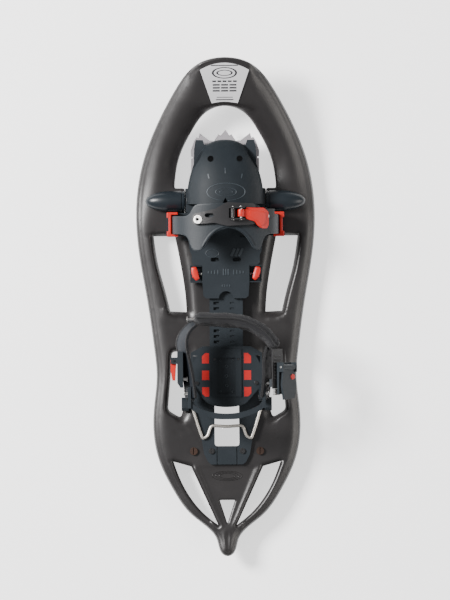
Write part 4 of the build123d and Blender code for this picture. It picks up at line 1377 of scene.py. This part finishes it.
@dataclass
class Saddle:
    """The forefoot saddle with its ratchet strap and release clips."""

    arch: Arch = Arch()

    def coil(self, side: int) -> bpy.types.Object:
        """One button spring as a real coil.

        Args:
            side: -1 on the left and 1 on the right.

        Returns:
            The coil as a mesh.
        """
        turns, radius = 5.0, 1.9
        t = np.linspace(0, 1, 90)
        x = side * (30.2 + 7.2 * t)
        angle = 2 * math.pi * turns * t
        line = np.column_stack([x, 42 + radius * np.cos(angle), 41.5 + radius * np.sin(angle)]) * MM
        return tube_along("button_coil_" + ("right" if side > 0 else "left"), line, 0.35 * MM)

    def buttons(self) -> None:
        """The red length buttons, slanting inwards to the rear, and their springs."""
        plan = [(43.6, 50.6), (37.5, 51.2), (35.8, 46.5), (33.2, 36), (37.6, 33.2), (42.2, 39), (43.8, 45)]
        for side, word in ((-1, "left"), (1, "right")):
            spring = self.coil(side)
            finish_piece(spring, "binding", STEEL, [f"button_spring_{word}"])
            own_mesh(spring)
            outline = dense(rounded([(side * x, y) for x, y in plan], 2.0), 1.2)
            flat, faces = filled_outline(outline, [], 1.6)
            crown = 48.6 - round_drop(distance_to(flat, outline), 3.0, 1.4)
            button = mesh_piece(f"button_{word}_cap", np.column_stack([flat, crown]) * MM, faces)
            thick = button.modifiers.new("thick", "SOLIDIFY")
            thick.thickness = 3.8 * MM
            thick.offset = -1 if button.data.polygons[0].normal.z > 0 else 1
            apply_modifiers(button)
            smooth_faces(button, 50)
            near, far = sorted((side * 38.3, side * 42.3))
            stem = block("stem", (near, 37.5, 38), (far, 46.5, 45), 0.5)
            button = joined([button, stem], f"button_{word}_cap")
            finish_piece(button, f"button_{word}", RED, [f"length_button_{word}"])

    def clips(self) -> None:
        """The red release clips with finger ribs."""
        for side, word in ((-1, "left"), (1, "right")):
            dress_node(f"saddle_clip_{word}", RED, 0.9)

    def buckle(self) -> None:
        """The plate, pins, pawl, lever and toothed strap."""
        crown = self.saddle_outline()
        saddle = self.arch.panel("saddle_arch", crown, 0, 3.0, unroll=True)
        finish_piece(saddle, "binding", SLATE, ["forefoot_saddle"])
        rim = self.arch.panel("saddle_rim", self.rear_arc(), 3.0, 4.0)
        finish_piece(rim, "binding", SLATE)
        dress_node("strap_buckle_plate", BUCKLE, 0.6)
        dress_node("strap_rivet", STEEL, 0.3)
        dress_node("ladder_rivet", STEEL, 0.3)
        dress_node("toe_ladder_strap", BLACK, 0.3)
        dress_node("buckle_pins", STEEL, 0.2)
        dress_node("buckle_pawl", BUCKLE, 0.3)
        plan = rounded([(16, 122.4), (25.5, 122.4), (26.5, 125.2), (40, 124.6), (48.6, 124.8), (54.4, 119),
                        (54.4, 103), (52.4, 98.8), (46.5, 98.6), (41, 102.4), (37.6, 107.4), (27, 110.4),
                        (25, 113.8), (16, 113.8)], 1.8)
        body = self.arch.panel("lever_body", plan, 10.2, 13.4)
        bead = self.arch.panel("lever_bead", rounded([(30, 121), (41, 121), (50, 120), (51.2, 116), (51, 107),
                               (47.5, 102), (44, 102), (41, 108), (31, 112.5)], 2.5), 13.3, 14.2)
        clear_selection()
        bpy.ops.mesh.primitive_cylinder_add(vertices=40, radius=4 * MM, depth=9.2 * MM,
                                            location=(19.5 * MM, 118.2 * MM, 108 * MM),
                                            rotation=(math.pi / 2, 0, 0))
        knuckle = settle(named(bpy.context.object, "lever_knuckle"))
        bevel(knuckle, 0.5 * MM, 2)
        smooth_faces(knuckle)
        lever = joined([body, bead, knuckle], "buckle_lever")
        finish_piece(lever, "strap_lever", RED, ["strap_lever"])

    def saddle_outline(self) -> np.ndarray:
        """The saddle's outline, with X as the run along the arch so that its legs unroll.

        Returns:
            The closed outline.
        """
        right = [(17, 95.5), (27, 86.5), (33, 77), (37.5, 72.2), (42.5, 72.5), (46.5, 80), (51, 89.5),
                 (58, 92)]
        left = [(-58, 92), (-50, 89), (-45, 78), (-41, 71.8), (-34, 70.8), (-28, 74.5), (-22, 84),
                (-11, 95), (4, 99.6)]
        front = [(58, 117), (50, 118.5), (44, 126), (30, 130), (0, 131), (-28, 130.5), (-40, 127),
                 (-46, 117.5), (-58, 115)]
        run, x, _ = self.arch.profile(3.0)
        upper = slice(1, -1)
        foot = float(run[-1])

        def along(points: Sequence) -> list:
            """The points with X turned into the run along the arch."""
            return [(float(np.interp(px, x[upper], run[upper])), py) for px, py in points]

        rear = smooth_line(along(left), 50)
        rear_right = smooth_line(along([(4, 99.6), *right]), 50)[1:]
        fore = smooth_line(along(front), 60)
        return np.vstack([rear, rear_right, [(foot, 92), (foot, 117)], fore, [(-foot, 115), (-foot, 92)]])

    def rear_arc(self) -> np.ndarray:
        """A raised bead round the saddle's rear arch.

        Returns:
            The bead's closed outline.
        """
        inner = smooth_line([(-28.5, 76), (-22, 85.5), (-11, 96.5), (4, 101), (17.5, 97), (27.8, 88),
                             (34, 78.5)], 40)
        outer = smooth_line([(-31, 75), (-24, 88), (-12, 99), (4, 103.5), (18.5, 99.4), (30, 89.5),
                             (36.5, 77.5)], 40)
        return np.vstack([inner, outer[::-1]])

    def assemble(self) -> None:
        """Makes and dresses all of it."""
        self.buckle()
        self.clips()
        self.buttons()


# ---- heel and ankle ----------------------------------------------------------
@dataclass
class HeelUnit:
    """The length rail, the heel plate and its dampers."""

    def panel_marks(self) -> None:
        """The heel panel's small pips."""
        tree = surface_tree("heel_plate")
        marks = [flat_ring("pip", (x, y), (0.9, 0.9), 0.8, 0.4) for x in (-7.5, 7.5) for y in (-67.5, -106.5)]
        marks += [flat_ring("pip", (0, y), (1.6, 1.6), 0.9, 0.4) for y in (-75, -87, -99)]
        layer = joined(marks, "heel_panel_pips")
        lay_on(layer, tree, 0.05 * MM)
        finish_piece(layer, "heel_unit", SLATE_MARKS_AND_GLINTS)

    def assemble(self) -> None:
        """Makes and dresses all of it."""
        dress_node("length_rail", SLATE, 0.4)
        dress_node("heel_plate", SLATE, 0.7)
        dress_node("heel_pads", RED_PAD, 0.6)
        dress_node("heel_screws", DARK_STEEL, 0.3)
        dress_node("cup_rivets", DARK_STEEL, 0.4)
        self.panel_marks()


@dataclass
class AnklePad:
    """The padded band over the instep, swelled by a short cloth simulation."""

    path: tuple = ((-40, -15), (-12, -15.3), (20, -18.2), (41, -27.5), (56, -42), (61.5, -52))
    low: float = 89.0
    high: float = 120.5
    thickness: float = 15.5
    lean: float = 4.0
    most: float = 3.0

    def section(self, centre: np.ndarray, across: np.ndarray, count: int, grow: float = 1.0) -> list:
        """One rounded cross-section of the band, leaning back towards its top.

        Args:
            centre: A point on the band's centre line.
            across: The direction across the band there.
            count: How many points go round it.
            grow: The section's size against the full one.

        Returns:
            The points round the section.
        """
        ring = []
        for k in range(count):
            a = 2 * math.pi * k / count
            c, s = math.cos(a), math.sin(a)
            wide = math.copysign(abs(c) ** 0.8, c) * self.thickness / 2 * grow
            tall = math.copysign(abs(s) ** 0.6, s) * (self.high - self.low) / 2 * grow
            shift = -self.lean * (tall / (self.high - self.low))
            spot = centre + across * (wide - shift)
            ring.append((spot[0] * MM, spot[1] * MM, ((self.high + self.low) / 2 + tall) * MM))
        return ring

    def lines(self, count: int) -> tuple[np.ndarray, np.ndarray]:
        """The band's centre line and the direction across it, which points to the toe.

        Args:
            count: How many points the lines have.

        Returns:
            The centre line and the directions.
        """
        line = smooth_line(self.path, count)
        along = np.gradient(line, axis=0)
        along /= np.linalg.norm(along, axis=1)[:, None]
        return line, np.column_stack([-along[:, 1], along[:, 0]])

    def blank(self) -> bpy.types.Object:
        """The band before it swells, as a closed tube.

        Returns:
            The band as a mesh.
        """
        stations, around = 46, 26
        line, across = self.lines(stations)
        verts = []
        for i, (spot, side) in enumerate(zip(line, across)):
            grow = min(1.0, 0.72 + 0.14 * min(i, stations - i))
            verts += self.section(spot, side, around, grow)
        faces = [(i * around + k, i * around + (k + 1) % around, (i + 1) * around + (k + 1) % around,
                  (i + 1) * around + k) for i in range(stations) for k in range(around)]
        faces.append(tuple(range(around)))
        faces.append(tuple(stations * around + k for k in reversed(range(around))))
        pad = mesh_piece("ankle_cushion", verts, faces)
        take(pad)
        bpy.ops.object.mode_set(mode="EDIT")
        bpy.ops.mesh.select_all(action="SELECT")
        bpy.ops.mesh.normals_make_consistent(inside=False)
        bpy.ops.object.mode_set(mode="OBJECT")
        return pad

    def swell(self, pad: bpy.types.Object) -> None:
        """Inflates the band with cloth, and caps how far any point moves.

        Args:
            pad: The band to inflate.
        """
        cells = pad.modifiers.new("cells", "REMESH")
        cells.mode = "VOXEL"
        cells.voxel_size = 0.0028
        apply_modifiers(pad)
        rest = np.array([v.co[:] for v in pad.data.vertices])
        cloth = pad.modifiers.new("cloth", "CLOTH")
        cloth.settings.quality = 4
        cloth.settings.use_pressure = True
        cloth.settings.uniform_pressure_force = 4.0
        cloth.settings.effector_weights.gravity = 0.0
        scene = bpy.context.scene
        for step in range(1, 16):
            scene.frame_set(step)
        apply_modifiers(pad)
        scene.frame_set(1)
        moved = np.array([v.co[:] for v in pad.data.vertices]) - rest
        reach = np.linalg.norm(moved, axis=1)
        limit = self.most * MM
        scale = np.where(reach > limit, limit / np.maximum(reach, 1e-9), 1.0)
        for vert, spot in zip(pad.data.vertices, rest + moved * scale[:, None]):
            vert.co = spot

    def wrinkle(self, pad: bpy.types.Object) -> None:
        """Presses soft creases across the band and a stitched channel along it.

        Args:
            pad: The swollen band.
        """
        line, _ = self.lines(240)
        middle = (self.low + self.high) / 2
        for vert in pad.data.vertices:
            plan = np.array([vert.co.x, vert.co.y]) / MM
            nearest = int(np.argmin(np.sum((line - plan) ** 2, axis=1)))
            outward = plan - line[nearest]
            size = max(np.linalg.norm(outward), 1e-6)
            tall = vert.co.z / MM
            crease = (0.4 * math.sin(nearest * 0.12 + 0.1 * tall)
                      + 0.2 * math.sin(nearest * 0.31 - 0.15 * tall))
            channel = 0.8 * (math.exp(-((tall - middle - 7) / 1.4) ** 2)
                             + math.exp(-((tall - middle + 7) / 1.4) ** 2))
            step = outward / size * (crease - channel) * MM
            vert.co.x += step[0]
            vert.co.y += step[1]

    def piping(self, height: float, name: str) -> bpy.types.Object:
        """The corded edge sewn along the band's top or bottom.

        Args:
            height: The height of the edge, in millimetres.
            name: The piping's name.

        Returns:
            The piping as a mesh.
        """
        line, across = self.lines(90)
        shift = self.lean * ((height - (self.low + self.high) / 2) / (self.high - self.low))
        spots = [(p[0] + a[0] * shift, p[1] + a[1] * shift, height) for p, a in zip(line, across)]
        return tube_along(name, np.array(spots[2:-2]) * MM, 1.3 * MM)

    def assemble(self) -> None:
        """Makes the padded band and its piping."""
        pad = self.blank()
        self.swell(pad)
        self.wrinkle(pad)
        fine = pad.modifiers.new("fine", "SUBSURF")
        fine.levels = fine.render_levels = 1
        apply_modifiers(pad)
        smooth_faces(pad, 80)
        finish_piece(pad, "ankle_cuff", CLOTH, ["ankle_pad"])
        for height, word in ((self.high - 0.5, "top"), (self.low + 0.5, "bottom")):
            finish_piece(self.piping(height, f"cushion_piping_{word}"), "ankle_cuff", PIPING)


@dataclass
class AnkleStrap:
    """A side strap of the cuff: a ribbon between a lower, outer line and an upper, inner one."""

    name: str
    node: str
    lower: tuple
    upper: tuple
    finish: Finish
    low: float = 85.5
    high: float = 106.0
    thickness: float = 2.6

    def ribbon(self, name: str, first: float, last: float, thickness: float, lift: float) -> bpy.types.Object:
        """Part of the ribbon's width as a solid strip.

        Args:
            name: The strip's name.
            first: Where the strip starts across the ribbon, from 0 at the lower line.
            last: Where it ends.
            thickness: Its thickness in millimetres.
            lift: How far it stands off the ribbon's middle, in millimetres.

        Returns:
            The strip.
        """
        count, rows = 60, 8
        lower = smooth_line([(*p, self.low) for p in self.lower], count)
        upper = smooth_line([(*p, self.high) for p in self.upper], count)
        verts = []
        for a, b in zip(lower, upper):
            for j in range(rows + 1):
                t = first + (last - first) * j / rows
                spot = a + (b - a) * t
                spot[2] += 1.6 * math.sin(math.pi * t) + lift
                verts.append(tuple(spot * MM))
        step = rows + 1
        faces = [(i * step + j, (i + 1) * step + j, (i + 1) * step + j + 1, i * step + j + 1)
                 for i in range(count) for j in range(rows)]
        strip = mesh_piece(name, verts, faces)
        thick = strip.modifiers.new("thick", "SOLIDIFY")
        thick.thickness = thickness * MM
        thick.offset = 0
        apply_modifiers(strip)
        bevel(strip, 0.25 * thickness * MM, 3)
        smooth_faces(strip, 60)
        return strip

    def assemble(self) -> None:
        """Makes the ribbon, its hems and its stitches."""
        finish_piece(self.ribbon(self.name, 0, 1, self.thickness, 0), "ankle_cuff", self.finish, [self.node])
        hems = joined([self.ribbon("hem", 0.0, 0.1, self.thickness + 1.0, 0), self.ribbon("hem", 0.9, 1.0,
                      self.thickness + 1.0, 0)], self.name + "_hems")
        finish_piece(hems, "ankle_cuff", PIPING)
        dashes = []
        for t in (0.16, 0.84):
            strip = self.ribbon("dash", t - 0.012, t + 0.012, 0.6, self.thickness / 2)
            dashes.append(strip)
        finish_piece(joined(dashes, self.name + "_stitches"), "ankle_cuff", self.finish)


@dataclass
class AnkleCuff:
    """The heel cup and everything that closes round the ankle."""

    def assemble(self) -> None:
        """Makes and dresses all of it."""
        dress_node("heel_cup", SLATE, 1.0)
        outer = ((-51, -114), (-52.5, -98), (-55.2, -76), (-59, -60), (-62.5, -46), (-57, -31), (-43, -17.5))
        inner = ((-38.5, -114), (-40, -98), (-44, -75), (-48.5, -54), (-48.5, -38), (-43, -28),
                 (-36.5, -22.5))
        AnkleStrap("left_side_strap", "ankle_arm_left", outer, inner, SLATE_STRAP).assemble()
        outer = ((52, -115), (54.5, -97), (56.5, -80), (58, -64), (60, -50))
        inner = ((43, -114), (45.5, -96), (46.5, -80), (47, -64), (50, -50))
        AnkleStrap("right_side_strap", "ankle_arm_right", outer, inner, CLOTH).assemble()
        AnklePad().assemble()
        for node, finish, edge in (("ratchet_anchor", SLATE, 0.5), ("ankle_rivets", STEEL, 0.3),
                                   ("ankle_ladder_strap", BLACK, 0.3), ("ladder_teeth_plate", STEEL, 0.15),
                                   ("ankle_buckle", SLATE, 0.4), ("ankle_pin", STEEL, 0.2),
                                   ("ankle_lever", SLATE, 0.8), ("ankle_lever_cap", RED, 0.4),
                                   ("adjuster_body", SLATE, 0.9), ("adjuster_pin", BLACK, 0.2),
                                   ("adjuster_lever", RED, 0.8)):
            dress_node(node, finish, edge)


@dataclass
class HeelLifter:
    """The wire bail, with smooth bends."""

    route: tuple = ((54, -122.4), (44.6, -122.4), (36, -151), (30.7, -166.5), (24.5, -163), (20, -149.5),
                    (0, -151))
    height: float = 36.3
    radius: float = 2.0
    bend: float = 4.2

    def assemble(self) -> None:
        """Makes the wire along its route, with flat caps on its ends."""
        path = [(-x, y) for x, y in self.route[:-1]] + list(self.route[::-1])
        spots = [np.array(path[0], float)]
        for before, corner, after in zip(path, path[1:], path[2:]):
            corner = np.array(corner, float)
            u, v = np.array(before) - corner, np.array(after) - corner
            reach = min(self.bend, 0.45 * np.linalg.norm(u), 0.45 * np.linalg.norm(v))
            a, b = corner + u / np.linalg.norm(u) * reach, corner + v / np.linalg.norm(v) * reach
            spots += [(1 - t) ** 2 * a + 2 * t * (1 - t) * corner + t * t * b for t in np.linspace(0, 1, 9)]
        spots.append(np.array(path[-1], float))
        line = np.array([(x, y, self.height) for x, y in spots]) * MM
        finish_piece(tube_along("lifter_wire", line, self.radius * MM), "lifter", WIRE, ["heel_lifter"])


# ---- stage -------------------------------------------------------------------
@dataclass
class Studio:
    """A pale floor, soft light and a camera straight above."""

    distance: float = 12.0
    image_height: float = 0.7605
    roll: float = -0.4
    centre: tuple[float, float] = (-0.0013, 0.0089)

    def floor(self) -> None:
        """A pale floor that glows evenly."""
        clear_selection()
        bpy.ops.mesh.primitive_plane_add(size=8)
        ground = named(bpy.context.object, "studio_floor")
        pale = bpy.data.materials.new("pale_floor")
        pale.use_nodes = True
        shader = pale.node_tree.nodes["Principled BSDF"]
        shader.inputs["Base Color"].default_value = (0.95, 0.95, 0.95, 1)
        shader.inputs["Roughness"].default_value = 0.9
        shader.inputs["Emission Color"].default_value = (1.0, 1.0, 1.0, 1)
        shader.inputs["Emission Strength"].default_value = 1.1
        ground.data.materials.append(pale)

    def lamp(self, name: str, place: Sequence[float], power: float, size: float,
             tint: Colour = (1, 1, 1)) -> None:
        """A square soft light aimed at the snowshoe.

        Args:
            name: The lamp's name.
            place: Where it hangs, in metres.
            power: Its power in watts.
            size: The side of its square.
            tint: Its colour.
        """
        data = bpy.data.lights.new(name, "AREA")
        data.energy = power
        data.size = size
        data.color = tint
        light = bpy.data.objects.new(name, data)
        light.location = place
        light.rotation_euler = (-Vector(place)).to_track_quat("-Z", "Y").to_euler()
        bpy.context.scene.collection.objects.link(light)

    def camera(self) -> None:
        """A long lens straight above, turned a touch as the snowshoe lies."""
        data = bpy.data.cameras.new("camera")
        data.sensor_width = 36.0
        data.lens = data.sensor_width * self.distance / self.image_height
        camera = bpy.data.objects.new("camera", data)
        camera.location = (*self.centre, self.distance)
        camera.rotation_euler = (0, 0, math.radians(self.roll))
        bpy.context.scene.collection.objects.link(camera)
        bpy.context.scene.camera = camera

    def assemble(self) -> None:
        """Sets the stage."""
        self.floor()
        self.lamp("key", (-2.2, 1.0, 2.15), 260, 0.9, (1.0, 0.985, 0.98))
        self.lamp("fill", (2.3, -0.4, 1.6), 34, 1.5, (1.0, 0.95, 0.9))
        world = bpy.data.worlds.new("studio")
        world.use_nodes = True
        world.node_tree.nodes["Background"].inputs["Color"].default_value = (0.9, 0.92, 0.95, 1)
        world.node_tree.nodes["Background"].inputs["Strength"].default_value = 0.4
        bpy.context.scene.world = world
        self.camera()


def main() -> None:
    """Builds the snowshoe's pieces in order."""
    logging.basicConfig(level=logging.INFO, format="%(name)s: %(message)s")
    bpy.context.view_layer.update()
    Studio().assemble()
    wear_group()
    weave_group()
    deck = DeckFrame()
    deck.assemble()
    DeckTrim(deck).assemble()
    for part in (FootPlate(), ToeCap(), Saddle(), HeelUnit(), AnkleCuff(), HeelLifter()):
        part.assemble()


if __name__ == "__main__":
    main()
